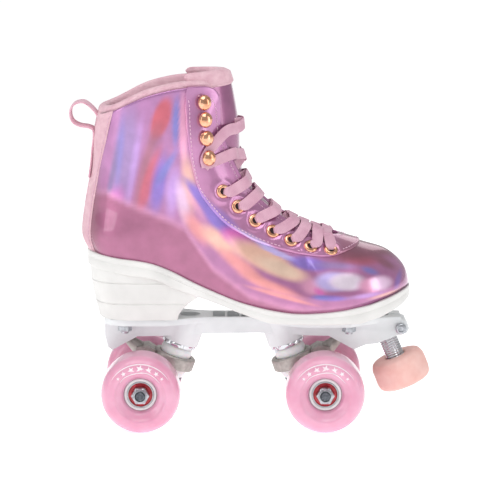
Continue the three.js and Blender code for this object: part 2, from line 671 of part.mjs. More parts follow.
function plateBeam() {
  const low = PLATE_TOP - FLANGE_THICKNESS;
  return sidePrism([
    onTruck(-31, low - AXLE_Z, -1), onTruck(-31, 41, -1), onTruck(-28.6, 31, -1), onTruck(-25, 28.4, -1),
    onTruck(-4, 40, -1), onTruck(17, 40.5, -1), onTruck(55.5, 42.5, -1),
    onTruck(55.5, 43.2, 1), onTruck(17, 41, 1), onTruck(-4, 40.4, 1), onTruck(-25, 28.8, 1),
    onTruck(-35, 33, 1), onTruck(-44.5, 34, 1), onTruck(-60.5, 40.6, 1), onTruck(-69, 43, 1),
    onTruck(-71, 47, 1), onTruck(-68, low - AXLE_Z + 1, 1), onTruck(-60, PLATE_TOP - 0.5 - AXLE_Z, 1),
    onTruck(-31, PLATE_TOP - 0.5 - AXLE_Z, -1),
  ], BEAM_HALF_WIDTH);
}

// the flange's outline: end of the skate, distance from that axle towards the middle, half width
const FLANGE_OUTLINE = [
  [-1, -31, 15], [-1, -25, 23], [-1, -14, 27], [-1, 20, 27], [-1, 32, 22], [-1, 46, 15.5],
  [-1, 56, BEAM_HALF_WIDTH], [1, 58, BEAM_HALF_WIDTH], [1, 42, 18], [1, 28, 28], [1, 12, 33],
  [1, -22, 31.5], [1, -34, 22], [1, -46, 15], [1, -64, 13.5],
];

function plateFlange() {
  const half = FLANGE_OUTLINE.map(([end, x, y]) => [onTruck(x, 0, end)[0], y]);
  const outline = [...half.map(([x, y]) => [x, -y]), ...half.reverse().map(([x, y]) => [x, y])];
  return planPrism(outline, PLATE_TOP - FLANGE_THICKNESS, PLATE_TOP);
}

const BOSS_RADIUS = 15.5;
const BOSS_RISE = 22;

function basePlate() {
  const bosses = [-1, 1].map((end) => (
    rod(BOSS_RADIUS, truckVector(RING_CENTRE, end), truckDirection(KINGPIN_UP, end), BOSS_START, BOSS_START + BOSS_RISE)));
  const body = join(plateBeam(), plateFlange(), ...bosses);
  const above = block(-400, 400, 200, PLATE_TOP, PLATE_TOP + 100);
  const truckCuts = [-1, 1].flatMap((end) => {
    const ringAt = truckVector(RING_CENTRE, end);
    const up = truckDirection(KINGPIN_UP, end);
    const pivot = truckVector(PIVOT_CENTRE, end);
    const arm = truckDirection(PIVOT_ARM, end);
    const cupRadius = PIVOT_BALL_DIAMETER / 2 + RUNNING_GAP + PIVOT_CUP_WALL + GAP;
    return [
      rod(KINGPIN_DIAMETER / 2 + GAP, ringAt, up, 0, 60, 20),
      rod(KINGPIN_HEAD_DIAMETER / 2 + GAP, ringAt, up, HEAD_SEAT, 80, 20),
      rod(cupRadius, pivot, arm, -PIVOT_BALL_DIAMETER / 2 - PIVOT_CUP_WALL - GAP, 24, 20),
    ];
  });
  const stemHole = rod(STOP_STEM_DIAMETER / 2 + GAP, STOP_TOP, STOP_DOWN, -90, 20);
  const slot = block(STOP_TOP.x - 14, STOP_TOP.x + 60, 1, AXLE_Z + 20, PLATE_TOP + 10);
  const pinch = rod(PINCH_BOLT_DIAMETER / 2 + GAP, pinchCentre(), vec(0, 1, 0), -60, 60, 16);
  const waist = WHEELBASE / 2 - 58;
  const troughs = [-1, 0, 1].map((k) => (
    block((k - 0.5) * waist * 0.66 + 1, (k + 0.5) * waist * 0.66 - 1, BEAM_HALF_WIDTH - 3,
      PLATE_TOP - 9.5, PLATE_TOP + 5)));
  return cut(body, above, ...truckCuts, stemHole, slot, pinch, ...troughs, ...boltHoles(40, 160));
}

function mountingBolt({ x, y, side }) {
  const at = vec(x, side * y, 0);
  const under = PLATE_TOP - FLANGE_THICKNESS - GAP;
  const seat = headSeat(x) + GAP;
  const shank = revolve([
    [0, under - MOUNT_NUT_HEIGHT - 2], [BOLT_DIAMETER / 2, under - MOUNT_NUT_HEIGHT - 2],
    [BOLT_DIAMETER / 2, seat], [BOLT_HEAD_DIAMETER / 2, seat],
    [BOLT_HEAD_DIAMETER / 2, seat + BOLT_HEAD_HEIGHT * 0.6], [BOLT_HEAD_DIAMETER / 3, seat + BOLT_HEAD_HEIGHT],
    [0, seat + BOLT_HEAD_HEIGHT],
  ], at, UP, 12);
  const nut = hexagon(MOUNT_NUT_FLATS, 0, at, UP, under - MOUNT_NUT_HEIGHT, MOUNT_NUT_HEIGHT);
  return join(shank, nut);
}

function pinchCentre() {
  return vec(WHEELBASE / 2 + 64, 0, AXLE_Z + 47);
}

// socket bolt across the toe-stop clamp, with its nut on the far side
function pinchBolt() {
  const half = BEAM_HALF_WIDTH + GAP;
  const shank = revolve([
    [0, -half - 5], [3.2, -half - 5], [4.5, -half - 4.2], [4.5, -half], [PINCH_BOLT_DIAMETER / 2, -half],
    [PINCH_BOLT_DIAMETER / 2, half + 6], [0, half + 6],
  ], pinchCentre(), vec(0, 1, 0), 20);
  const socket = hexagon(4.6, 0, pinchCentre(), vec(0, 1, 0), -half - 5.5, 3);
  const nut = hexagon(MOUNT_NUT_FLATS, 0, pinchCentre(), vec(0, 1, 0), half, MOUNT_NUT_HEIGHT);
  return cut(join(shank, nut), socket);
}

// ---------------------------------------------------------------- trucks, in their own frame

const ALONG_Y = vec(0, 1, 0);
const ORIGIN = vec(0, 0, 0);

function hanger() {
  const tube = revolve([
    [0, -HUB_INNER_Y + GAP], [AXLE_TUBE_RADIUS - 0.8, -HUB_INNER_Y + GAP],
    [AXLE_TUBE_RADIUS, -HUB_INNER_Y + GAP + 1], [AXLE_TUBE_RADIUS, -18],
    [AXLE_TUBE_RADIUS + 1.2, -12], [AXLE_TUBE_RADIUS + 1.2, 12], [AXLE_TUBE_RADIUS, 18],
    [AXLE_TUBE_RADIUS, HUB_INNER_Y - GAP - 1], [AXLE_TUBE_RADIUS - 0.8, HUB_INNER_Y - GAP],
    [0, HUB_INNER_Y - GAP],
  ], ORIGIN, ALONG_Y);
  const web = sidePrism([
    [-8, -2], [-4, -7.5], [4, -7.5], [7.2, 0], [7.6, 10.5], [8.4, 18], [11, 27], [5, 31], [-5, 30], [-9.5, 15],
  ], 10);
  const half = RING_THICKNESS / 2;
  const bore = KINGPIN_DIAMETER / 2 + STEER_CLEARANCE;
  const cup = CUSHION_DIAMETER / 2 + 0.8;
  const yoke = revolve([
    [bore, -half + CUP_DEPTH], [cup, -half + CUP_DEPTH], [cup, -half], [RING_DIAMETER / 2 - 1, -half],
    [RING_DIAMETER / 2, -half + 1], [RING_DIAMETER / 2, half - 1], [RING_DIAMETER / 2 - 1, half],
    [cup, half], [cup, half - CUP_DEPTH], [bore, half - CUP_DEPTH],
  ], RING_CENTRE, KINGPIN_UP, 24);
  const ball = PIVOT_BALL_DIAMETER / 2;
  const profile = range(0, 135, 6).map((angle) => {
    const a = THREE.MathUtils.degToRad(angle);
    return [ball * Math.sin(a), -ball * Math.cos(a)];
  });
  const arm = revolve([...profile, [4.6, 9], [6.5, 18], [0, 18]], PIVOT_CENTRE, PIVOT_ARM, 14);
  const clearRing = rod(cup, RING_CENTRE, KINGPIN_UP, -half - 20, -half + CUP_DEPTH, 24);
  const clearTop = rod(cup, RING_CENTRE, KINGPIN_UP, half - CUP_DEPTH, half + 20, 24);
  const axleHole = rod(BEARING_BORE / 2 + GAP, ORIGIN, ALONG_Y, -80, 80, 12);
  return cut(join(tube, web, yoke, arm), clearRing, clearTop, axleHole);
}

function axle() {
  const end = NUT_Y + AXLE_NUT_HEIGHT + 0.7;
  const radius = BEARING_BORE / 2;
  return revolve([
    [0, -end], [radius - 0.8, -end], [radius, -end + 0.8], [radius, end - 0.8], [radius - 0.8, end], [0, end],
  ], ORIGIN, ALONG_Y, 12);
}

const axleNut = (side) => hexagon(
  AXLE_NUT_FLATS, BEARING_BORE + 2 * GAP, ORIGIN, vec(0, side, 0), NUT_Y, AXLE_NUT_HEIGHT,
);

function kingpin() {
  const radius = KINGPIN_DIAMETER / 2;
  const low = -KINGPIN_NUT_START - KINGPIN_NUT_HEIGHT - 1.6;
  return revolve([
    [0, low], [radius - 0.8, low], [radius, low + 0.8], [radius, HEAD_SEAT + GAP],
    [KINGPIN_HEAD_DIAMETER / 2, HEAD_SEAT + GAP], [KINGPIN_HEAD_DIAMETER / 2, HEAD_SEAT + KINGPIN_HEAD_HEIGHT],
    [0, HEAD_SEAT + KINGPIN_HEAD_HEIGHT],
  ], RING_CENTRE, KINGPIN_UP, 20);
}

const kingpinNut = () => hexagon(
  KINGPIN_NUT_FLATS, KINGPIN_DIAMETER + 2 * GAP, RING_CENTRE, KINGPIN_UP,
  -KINGPIN_NUT_START - KINGPIN_NUT_HEIGHT, KINGPIN_NUT_HEIGHT,
);

function cushion(direction) {
  const outer = CUSHION_DIAMETER / 2;
  const bore = KINGPIN_DIAMETER / 2 + GAP;
  const middle = (CUSHION_START + CUSHION_END) / 2;
  return revolve([
    [bore, CUSHION_START], [outer - 1, CUSHION_START], [outer, CUSHION_START + 2], [outer, middle],
    [outer - 0.6, CUSHION_END - 2], [outer - 1.6, CUSHION_END], [bore, CUSHION_END],
  ], RING_CENTRE, KINGPIN_UP.clone().multiplyScalar(direction), 16);
}

// chrome washer with a scalloped rim
function upperWasher() {
  const radius = UPPER_WASHER_DIAMETER / 2;
  const bore = KINGPIN_DIAMETER / 2 + GAP;
  const body = ring(bore, radius, RING_CENTRE, KINGPIN_UP,
    UPPER_WASHER_START, UPPER_WASHER_START + UPPER_WASHER_THICKNESS, 16);
  const scallops = range(11.25, 326.25, 7).map((angle) => {
    const a = THREE.MathUtils.degToRad(angle);
    const across = vec(Math.cos(KINGPIN_TILT), 0, -Math.sin(KINGPIN_TILT)).multiplyScalar(Math.cos(a));
    const at = RING_CENTRE.clone().addScaledVector(across, radius + 1);
    at.y += Math.sin(a) * (radius + 1);
    return rod(2, at, KINGPIN_UP, UPPER_WASHER_START - 1, UPPER_WASHER_START + UPPER_WASHER_THICKNESS + 1, 6);
  });
  return cut(body, ...scallops);
}

const lowerWasher = () => ring(
  KINGPIN_DIAMETER / 2 + GAP, LOWER_WASHER_DIAMETER / 2, RING_CENTRE, KINGPIN_UP,
  -LOWER_WASHER_START - LOWER_WASHER_THICKNESS, -LOWER_WASHER_START, 16,
);

function pivotCup() {
  const inner = PIVOT_BALL_DIAMETER / 2 + RUNNING_GAP;
  const outer = inner + PIVOT_CUP_WALL;
  const bowl = range(0, 90, 4).map((angle) => {
    const a = THREE.MathUtils.degToRad(angle);
    return [inner * Math.sin(a), -inner * Math.cos(a)];
  });
  const back = -PIVOT_BALL_DIAMETER / 2 - PIVOT_CUP_WALL;
  return revolve([...bowl, [inner, 3], [outer, 3], [outer, back], [0, back]], PIVOT_CENTRE, PIVOT_ARM, 14);
}

// ---------------------------------------------------------------- wheels, about their own centre

function tyre() {
  const half = WHEEL_WIDTH / 2;
  const inner = CORE_RADIUS + GAP;
  const hub = CORE_WIDTH / 2;
  const shoulder = range(0, 90, 3).map((angle) => {
    const a = THREE.MathUtils.degToRad(angle);
    return [
      WHEEL_RADIUS - WHEEL_SHOULDER * (1 - Math.cos(a)),
      half - WHEEL_SHOULDER * (1 - Math.sin(a)),
    ];
  });
  const outerHalf = [...shoulder, [inner + 4.4, half], [inner + 2.2, hub + 3], [inner, hub]];
  const innerHalf = outerHalf.map(([r, y]) => [r, -y]).reverse();
  return revolve([...outerHalf, ...innerHalf], ORIGIN, ALONG_Y, 24);
}

function core() {
  const half = CORE_WIDTH / 2;
  const seat = BEARING_DIAMETER / 2 + GAP;
  const land = seat - 1.8;
  const deep = half - BEARING_WIDTH - GAP;
  return revolve([
    [seat, -half], [CORE_RADIUS, -half], [CORE_RADIUS, half], [seat, half],
    [seat, deep], [land, deep], [land, -deep], [seat, -deep],
  ], ORIGIN, ALONG_Y, 16);
}

// a ball bearing with its shield set back between the two races
function bearing(side) {
  const bore = BEARING_BORE / 2 + GAP;
  const outer = BEARING_DIAMETER / 2;
  const face = CORE_WIDTH / 2;
  const back = face - BEARING_WIDTH;
  return revolve([
    [bore, back], [outer, back], [outer, face], [outer - 1.6, face - 0.5], [bore + 2.2, face - 0.5], [bore, face],
  ], ORIGIN, vec(0, side, 0), 16);
}

// ---------------------------------------------------------------- toe stop

function stopRubber() {
  const r = STOP_DIAMETER / 2;
  const bore = STOP_STEM_DIAMETER / 2 + GAP;
  return revolve([
    [0, STEM_IN_STOP + GAP], [bore, STEM_IN_STOP + GAP], [bore, 0], [r - 5.5, 0], [r - 2, 2.4], [r, 7.5],
    [r, STOP_HEIGHT - 6.5], [r - 1.6, STOP_HEIGHT - 2], [r - 4.2, STOP_HEIGHT], [0, STOP_HEIGHT],
  ], STOP_TOP, STOP_DOWN, 24);
}

function stopStem() {
  const r = STOP_STEM_DIAMETER / 2;
  const top = STEM_IN_STOP - STOP_STEM_LENGTH;
  return revolve([
    [0, top], [r - 1, top], [r, top + 1], [r, STEM_IN_STOP], [0, STEM_IN_STOP],
  ], STOP_TOP, STOP_DOWN, 20);
}

// ---------------------------------------------------------------- assembly

const material = (color, roughness, metalness) => new THREE.MeshStandardMaterial({ color, roughness, metalness });
const holographicPink = material(0xb070a0, 0.25, 0.4);
const palePink = material(0xe6b9c6, 0.9, 0);
const lacePink = material(0xdeafc0, 0.9, 0);
const white = material(0xf2f2f0, 0.45, 0);
const cushionWhite = material(0xe9e8e4, 0.5, 0);
const castGrey = material(0xa9a49e, 0.45, 0.7);
const steel = material(0xb9bcc0, 0.3, 0.9);
const darkSteel = material(0x5c5f66, 0.4, 0.8);
const tyrePink = material(0xe5a5be, 0.3, 0);
const redShield = material(0xb52a35, 0.4, 0.1);
const salmon = material(0xf0beb9, 0.7, 0);
const insoleGrey = material(0xd9c7cc, 0.9, 0);

function named(name, geometry, look) {
  const mesh = new THREE.Mesh(geometry, look);
  mesh.name = name;
  return mesh;
}

function boot() {
  const group = new THREE.Group();
  group.add(
    named('upper_shell', upperShell(), holographicPink),
    named('eyestay', eyestay(), holographicPink),
    named('backstay', backstay(), palePink),
    named('collar_lining', collarLining(), palePink),
    named('tongue', tongue(), holographicPink),
    named('lace', lace(), lacePink),
    named('pull_loop', pullLoop(), palePink),
    named('footbed', footbed(), insoleGrey),
    named('outsole', outsole(), white),
    named('heel_block', heelBlock(), white),
    named('base_plate', basePlate(), white),
    named('toe_stop_pinch_bolt', pinchBolt(), darkSteel),
    ...BOLTS.map((bolt) => named(bolt.name, mountingBolt(bolt), steel)),
  );
  return group;
}

function truck(end, label) {
  const group = new THREE.Group();
  group.add(
    named(`hanger_${label}`, hanger(), castGrey),
    named(`axle_${label}`, axle(), darkSteel),
    named(`kingpin_${label}`, kingpin(), darkSteel),
    named(`kingpin_nut_${label}`, kingpinNut(), steel),
    named(`upper_cushion_${label}`, cushion(1), cushionWhite),
    named(`lower_cushion_${label}`, cushion(-1), cushionWhite),
    named(`upper_washer_${label}`, upperWasher(), steel),
    named(`lower_washer_${label}`, lowerWasher(), darkSteel),
    named(`pivot_cup_${label}`, pivotCup(), cushionWhite),
  );
  for (const side of [-1, 1]) {
    const where = side * -end < 0 ? 'outer' : 'inner';
    group.add(named(`axle_nut_${label}_${where}`, axleNut(side), steel));
    const wheel = new THREE.Group();
    wheel.add(
      named(`tyre_${label}_${where}`, tyre(), tyrePink),
      named(`core_${label}_${where}`, core(), white),
      named(`bearing_out_${label}_${where}`, bearing(side), redShield),
      named(`bearing_in_${label}_${where}`, bearing(-side), steel),
    );
    wheel.position.y = side * WHEEL_Y;
    group.add(wheel);
  }
  group.position.set((end * WHEELBASE) / 2, 0, AXLE_Z);
  if (end > 0) group.rotation.z = Math.PI;
  return group;
}

function toeStop() {
  const group = new THREE.Group();
  group.add(named('toe_stop_stem', stopStem(), steel), named('toe_stop_rubber', stopRubber(), salmon));
  return group;
}

const skate = new THREE.Group();
skate.add(boot(), truck(-1, 'rear'), truck(1, 'front'), toeStop());

// the origin is the middle of the footprint, on the ground
const box = new THREE.Box3().setFromObject(skate);
skate.position.x = -(box.min.x + box.max.x) / 2;
skate.position.y = -(box.min.y + box.max.y) / 2;

export default skate;
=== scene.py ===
# %% [markdown]
# # A quad roller skate in pink holographic vinyl
# The skate is a boot on a white sole, bolted to a plate that carries two steering trucks, four wheels and a
# toe stop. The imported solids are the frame: they say where everything is and what moves with what. Each
# visible surface is then made again here, finer, as a surface worked out with numpy and given its finish.

# %% Load the frame
import json
import math

import bmesh
import bpy
import numpy as np
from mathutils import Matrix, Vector

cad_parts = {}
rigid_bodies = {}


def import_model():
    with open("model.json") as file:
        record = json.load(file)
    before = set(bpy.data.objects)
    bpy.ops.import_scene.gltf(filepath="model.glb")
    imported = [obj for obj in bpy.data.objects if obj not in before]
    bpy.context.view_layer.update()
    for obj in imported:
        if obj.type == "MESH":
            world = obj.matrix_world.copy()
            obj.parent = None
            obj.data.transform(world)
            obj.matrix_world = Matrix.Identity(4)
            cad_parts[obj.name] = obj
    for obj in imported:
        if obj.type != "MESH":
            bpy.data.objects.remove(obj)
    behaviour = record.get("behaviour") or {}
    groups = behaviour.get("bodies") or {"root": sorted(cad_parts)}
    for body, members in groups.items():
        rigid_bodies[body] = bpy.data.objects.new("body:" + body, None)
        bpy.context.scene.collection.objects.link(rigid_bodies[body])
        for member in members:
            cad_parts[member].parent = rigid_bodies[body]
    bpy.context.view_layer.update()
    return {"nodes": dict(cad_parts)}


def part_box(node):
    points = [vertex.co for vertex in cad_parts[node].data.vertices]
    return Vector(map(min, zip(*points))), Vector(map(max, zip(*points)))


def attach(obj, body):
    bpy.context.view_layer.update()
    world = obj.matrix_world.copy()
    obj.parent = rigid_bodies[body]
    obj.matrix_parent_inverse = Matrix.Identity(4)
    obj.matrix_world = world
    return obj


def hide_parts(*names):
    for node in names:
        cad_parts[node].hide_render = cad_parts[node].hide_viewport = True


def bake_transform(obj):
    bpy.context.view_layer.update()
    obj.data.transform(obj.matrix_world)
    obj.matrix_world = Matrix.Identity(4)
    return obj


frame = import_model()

# %% [markdown]
# ## Measures
# A skate maker measures from the middle of the wheelbase, on the ground, in millimetres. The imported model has
# its own origin, so one helper moves points from the maker's measures into the frame, in metres.

# %% Where the middle of the wheelbase lies
MM = 0.001


def middle(node):
    """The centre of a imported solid's box, in millimetres."""
    low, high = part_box(node)
    return (np.array(low) + np.array(high)) / 2 / MM


MIDDLE_X = (middle("axle_rear")[0] + middle("axle_front")[0]) / 2


def from_frame(point):
    """A point of the frame, in millimetres, measured from the middle of the wheelbase."""
    return np.array(point, float) - (MIDDLE_X, 0, 0)


def placed(points):
    """Points from the middle of the wheelbase in millimetres, as points of the frame in metres."""
    return (np.asarray(points, float) + (MIDDLE_X, 0, 0)) * MM


AXLES = {end: from_frame(middle(f"axle_{end}")) for end in ("rear", "front")}
print("axles at", {end: at.round(1).tolist() for end, at in AXLES.items()})

# %% [markdown]
# ## Turning grids into pieces
# Almost every piece is a grid of points: rows one way, columns the other, either of which may close on
# itself. Small helpers make the faces of such a grid and close its ends. Another puts points and faces in a
# mesh, turns a closed body's faces outwards, and says which body of the frame it moves with.


# %% Faces of a grid
def grid_faces(rows, cols, wrap_rows=False, wrap_cols=False):
    """Four-sided faces between neighbouring points of a grid whose points are numbered row by row."""
    r = np.arange(rows if wrap_rows else rows - 1)[:, None]
    c = np.arange(cols if wrap_cols else cols - 1)[None, :]
    r2, c2 = (r + 1) % rows, (c + 1) % cols
    return np.stack([r * cols + c, r2 * cols + c, r2 * cols + c2, r * cols + c2], -1).reshape(-1, 4)


def ladder(cols, first):
    """Closes a ring of points with rungs from one side to the other, from number `first` on."""
    j = np.arange(cols // 2 - 1)
    return np.stack([j, j + 1, cols - 2 - j, cols - 1 - j], -1) + first


def tube_faces(rows, cols):
    """A grid that closes on itself round its columns, with a ladder over each end."""
    return np.concatenate([grid_faces(rows, cols, False, True), ladder(cols, 0)[:, ::-1],
                           ladder(cols, (rows - 1) * cols)])


def volume(points, faces):
    """The signed volume inside four-sided faces: a sixth of the triple products of their corners."""
    a, b, c, d = (points[faces[:, k]] for k in range(4))
    return (np.einsum("ij,ij->i", a, np.cross(b, c)) + np.einsum("ij,ij->i", a, np.cross(c, d))).sum() / 6


print("a grid of 3 by 4 points has", len(grid_faces(3, 4)), "faces")


# %% One piece
def piece(name, points, faces, finish, body=None, stands_for=(), across=None, sharp=50):
    """A mesh of these points and faces, its faces outwards, in one finish, riding on one body."""
    points = np.asarray(points, float).reshape(-1, 3)
    faces = np.asarray(faces)
    if volume(points, faces) < 0:
        faces = faces[:, ::-1]
    mesh = bpy.data.meshes.new(name)
    mesh.from_pydata(placed(points).tolist(), [], faces.tolist())
    if across is not None:
        corner = np.empty(len(mesh.loops), int)
        mesh.loops.foreach_get("vertex_index", corner)
        mesh.uv_layers.new(name="UVMap").uv.foreach_set("vector", across.reshape(-1, 2)[corner].ravel())
    weld(mesh)
    mesh.shade_smooth()
    mesh.set_sharp_from_angle(angle=math.radians(sharp))
    obj = bpy.data.objects.new(name, mesh)
    bpy.context.scene.collection.objects.link(obj)
    mesh.materials.append(finish)
    return dress(obj, body, stands_for)


def weld(mesh):
    """Merges points in the same place, such as a pole's, and drops the faces that this flattens."""
    work = bmesh.new()
    work.from_mesh(mesh)
    bmesh.ops.remove_doubles(work, verts=work.verts, dist=1e-7)
    work.to_mesh(mesh)
    work.free()


def dress(obj, body, stands_for):
    """Says what a piece moves with and which solids it stands for."""
    if body:
        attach(obj, body)
    if stands_for:
        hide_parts(*stands_for)
    return obj


# %% [markdown]
# Turned parts, such as wheels, washers and rings, are a profile carried round an axis. Its corners are
# rounded first, because no edge on a real part is perfectly sharp, and a rounded edge catches the light.


# %% Profiles carried round an axis
def rounded(profile, radius, closed=True, steps=3):
    """Each corner is replaced by a short curve between points a radius before and after it."""
    p = np.asarray(profile, float)
    before, after = np.roll(p, 1, 0) - p, np.roll(p, -1, 0) - p
    reach = [np.minimum(radius / np.maximum(np.linalg.norm(v, axis=1), 1e-9), 0.45) for v in (before, after)]
    a, b = p + before * reach[0][:, None], p + after * reach[1][:, None]
    t = np.linspace(0, 1, steps)[None, :, None]
    curve = (1 - t) ** 2 * a[:, None] + 2 * t * (1 - t) * p[:, None] + t**2 * b[:, None]
    if closed:
        return curve.reshape(-1, 2)
    return np.vstack([p[:1], curve[1:-1].reshape(-1, 2), p[-1:]])


def frame_of(axis):
    """Two directions square to an axis and to each other."""
    axis = np.array(axis, float) / np.linalg.norm(axis)
    side = np.cross(axis, (0, 1, 0) if abs(axis[1]) < 0.9 else (1, 0, 0))
    side /= np.linalg.norm(side)
    return axis, side, np.cross(axis, side)


def turned(profile, centre, axis, segments=72, closed=True, wave=None):
    """A profile of radius and height, carried round an axis. `wave` may change the radius by the angle."""
    axis, side, other = frame_of(axis)
    profile = np.asarray(profile, float)
    angle = np.linspace(0, 2 * math.pi, segments, endpoint=False)
    radius = profile[:, :1] * np.ones(segments)
    if wave:
        radius = wave(radius, angle, profile[:, 1:])
    around = np.cos(angle)[None, :, None] * side + np.sin(angle)[None, :, None] * other
    points = np.array(centre) + radius[..., None] * around + profile[:, 1][:, None, None] * axis
    return points, grid_faces(len(profile), segments, closed, True)


ring_points, ring_faces = turned([[1, 0], [2, 0], [2, 1], [1, 1]], (0, 0, 0), (0, 0, 1), 12)
print("a plain ring has a volume of", round(abs(volume(ring_points.reshape(-1, 3), ring_faces)), 2), "mm3")


# %% Joining several grids in one piece
def together(parts):
    """Several pairs of points and faces as one pair, with each face's numbers moved along."""
    points, faces, start = [], [], 0
    for p, f in parts:
        p = np.asarray(p, float).reshape(-1, 3)
        f = np.asarray(f)
        if volume(p, f) < 0:
            f = f[:, ::-1]
        points.append(p)
        faces.append(f + start)
        start += len(p)
    return np.vstack(points), np.vstack(faces)


# %% [markdown]
# ## Finishes
# Each finish is one Principled shader. Plain numbers are set on its own sockets. Small things that make a
# surface look real, such as grain, weave and a slight change of tone, are node patterns on the object's own
# coordinates, so they stay put when the piece moves.


# %% A finish and its patterns
def tone(code):
    """A colour written as six hex digits, turned from screen values into light values."""
    value = np.array([int(code[k : k + 2], 16) / 255 for k in (0, 2, 4)])
    light = np.where(value <= 0.04045, value / 12.92, ((value + 0.055) / 1.055) ** 2.4)
    return (*light.tolist(), 1.0)


class Finish:
    """One material: its shader, and short ways to add patterns to it."""

    def __init__(self, name, colour, roughness, **sockets):
        self.material = bpy.data.materials.new(name)
        self.material.use_nodes = True
        self.tree = self.material.node_tree
        self.shader = self.tree.nodes["Principled BSDF"]
        self.shader.inputs["Base Color"].default_value = tone(colour)
        self.shader.inputs["Roughness"].default_value = roughness
        for socket, value in sockets.items():
            self.shader.inputs[socket.replace("_", " ")].default_value = value
        self.place = self.add("TexCoord").outputs["Object"]

    def add(self, kind, **inputs):
        """A node, with values or links given to its inputs by name."""
        made = self.tree.nodes.new("ShaderNode" + kind)
        for name, value in inputs.items():
            socket = made.inputs[name.replace("_", " ")]
            if isinstance(value, bpy.types.NodeSocket):
                self.tree.links.new(value, socket)
            else:
                socket.default_value = value
        return made

    def noise(self, size, detail=3.0):
        """Soft random patches of about `size` metres."""
        return self.add("TexNoise", Vector=self.place, Scale=1 / size, Detail=detail).outputs["Fac"]

    def ramp(self, value, *stops):
        """Colours at places between 0 and 1."""
        made = self.add("ValToRGB", Fac=value)
        while len(made.color_ramp.elements) < len(stops):
            made.color_ramp.elements.new(0.5)
        for element, (at, colour) in zip(made.color_ramp.elements, stops):
            element.position, element.color = at, tone(colour)
        return made.outputs["Color"]

    def mix(self, amount, a, b, how="MIX"):
        """Colour a turned towards colour b."""
        made = self.tree.nodes.new("ShaderNodeMix")
        made.data_type, made.blend_type = "RGBA", how
        for index, value in ((0, amount), (6, a), (7, b)):
            if isinstance(value, bpy.types.NodeSocket):
                self.tree.links.new(value, made.inputs[index])
            else:
                made.inputs[index].default_value = value
        return made.outputs[2]

    def paint(self, colour):
        """Takes the base colour from a pattern instead of the plain one."""
        self.tree.links.new(colour, self.shader.inputs["Base Color"])
        return self

    def rough(self, value, low, high):
        """Roughness that follows a pattern between two limits."""
        made = self.add("MapRange", Value=value, To_Min=low, To_Max=high)
        self.tree.links.new(made.outputs["Result"], self.shader.inputs["Roughness"])
        return self

    def relief(self, height, depth, strength=0.6):
        """Fine bumps of `depth` metres, on top of those already there."""
        made = self.add("Bump", Height=height, Strength=strength, Distance=depth)
        old = self.shader.inputs["Normal"]
        if old.links:
            self.tree.links.new(old.links[0].from_socket, made.inputs["Normal"])
        self.tree.links.new(made.outputs["Normal"], old)
        return self

    def threads(self, pitch):
        """Fine ribs a pitch apart, both ways, as in cloth: the sum of two wave patterns."""
        waves = []
        for direction in ("X", "Z"):
            made = self.add("TexWave", Vector=self.place, Scale=math.pi / 10 / pitch)
            made.bands_direction = direction
            waves.append(made.outputs["Fac"])
        total = self.tree.nodes.new("ShaderNodeMath")
        total.operation = "ADD"
        for k in (0, 1):
            self.tree.links.new(waves[k], total.inputs[k])
        return total.outputs[0]


print("pink in light values:", [round(v, 3) for v in tone("e5a5be")[:3]])

# %% [markdown]
# The vinyl is a pink film under a clear coat that breaks light into bands of violet, blue, magenta and
# peach. These bands are reflections that move with the light and the eye, so here they are painted: each
# point's tone, painted reflection and highlight included, is worked out from where it lies and kept in the
# mesh as a colour called Hologram. The shader reads it under a glossy coat.

# %% Finish of the holographic vinyl
vinyl = Finish("holographic_vinyl", "b26f98", 0.24, Metallic=0.55, Coat_Weight=1.0, Coat_Roughness=0.04)
hologram = vinyl.add("VertexColor")
hologram.layer_name = "Hologram"
shimmer = vinyl.ramp(vinyl.noise(0.012), (0.3, "d9d9d9"), (0.7, "ffffff"))
vinyl.paint(vinyl.mix(0.55, hologram.outputs["Color"], shimmer, "MULTIPLY"))
vinyl.rough(vinyl.noise(0.02), 0.18, 0.3)
vinyl.relief(vinyl.noise(0.0009), 0.00006, 0.25).relief(vinyl.noise(0.03, 1.0), 0.0012, 0.35)
print("vinyl shader sockets linked:", sum(s.is_linked for s in vinyl.shader.inputs))

# %% [markdown]
# The lining, backstay and loop are woven textile, the lace is a flat weave with ribs across it, and the
# thread is thin and shiny. All three have a little sheen, because loose fibres catch the light at a slant.

# %% Finishes of the textiles
textile = Finish("pale_textile", "e8bcc8", 0.85, Sheen_Weight=0.35, Sheen_Roughness=0.4)
textile.paint(textile.ramp(textile.noise(0.006), (0.3, "dfb0be"), (0.75, "efc8d2")))
textile.relief(textile.threads(0.0011), 0.00022, 0.7).relief(textile.noise(0.011), 0.0012, 0.35)

lace_weave = Finish("lace_weave", "dfb1c3", 0.8, Sheen_Weight=0.3, Sheen_Roughness=0.4)
own = lace_weave.add("UVMap").outputs["UV"]
ribs = lace_weave.add("TexWave", Vector=own, Scale=0.27, Distortion=0.6)
ribs.bands_direction = "Y"
cords = lace_weave.add("TexWave", Vector=own, Scale=0.32)
cords.bands_direction = "X"
both = lace_weave.mix(0.5, ribs.outputs["Color"], cords.outputs["Color"])
lace_weave.paint(lace_weave.mix(0.16, lace_weave.ramp(
    lace_weave.noise(0.01), (0.3, "dca5bd"), (0.7, "edbcd0")), both, "MULTIPLY"))
lace_weave.relief(both, 0.0003, 0.8)

thread = Finish("stitching_thread", "e0b4cb", 0.5, Sheen_Weight=0.2)
thread.paint(thread.ramp(thread.noise(0.002), (0.3, "cf9dba"), (0.7, "eec6da")))
insole = Finish("insole_textile", "d6bcc4", 0.9)
insole.paint(insole.ramp(insole.noise(0.004), (0.35, "c6a9b3"), (0.7, "dcc6cd"))).relief(
    insole.threads(0.0014), 0.0002, 0.6)
print("textile finishes:", [f.material.name for f in (textile, lace_weave, thread, insole)])

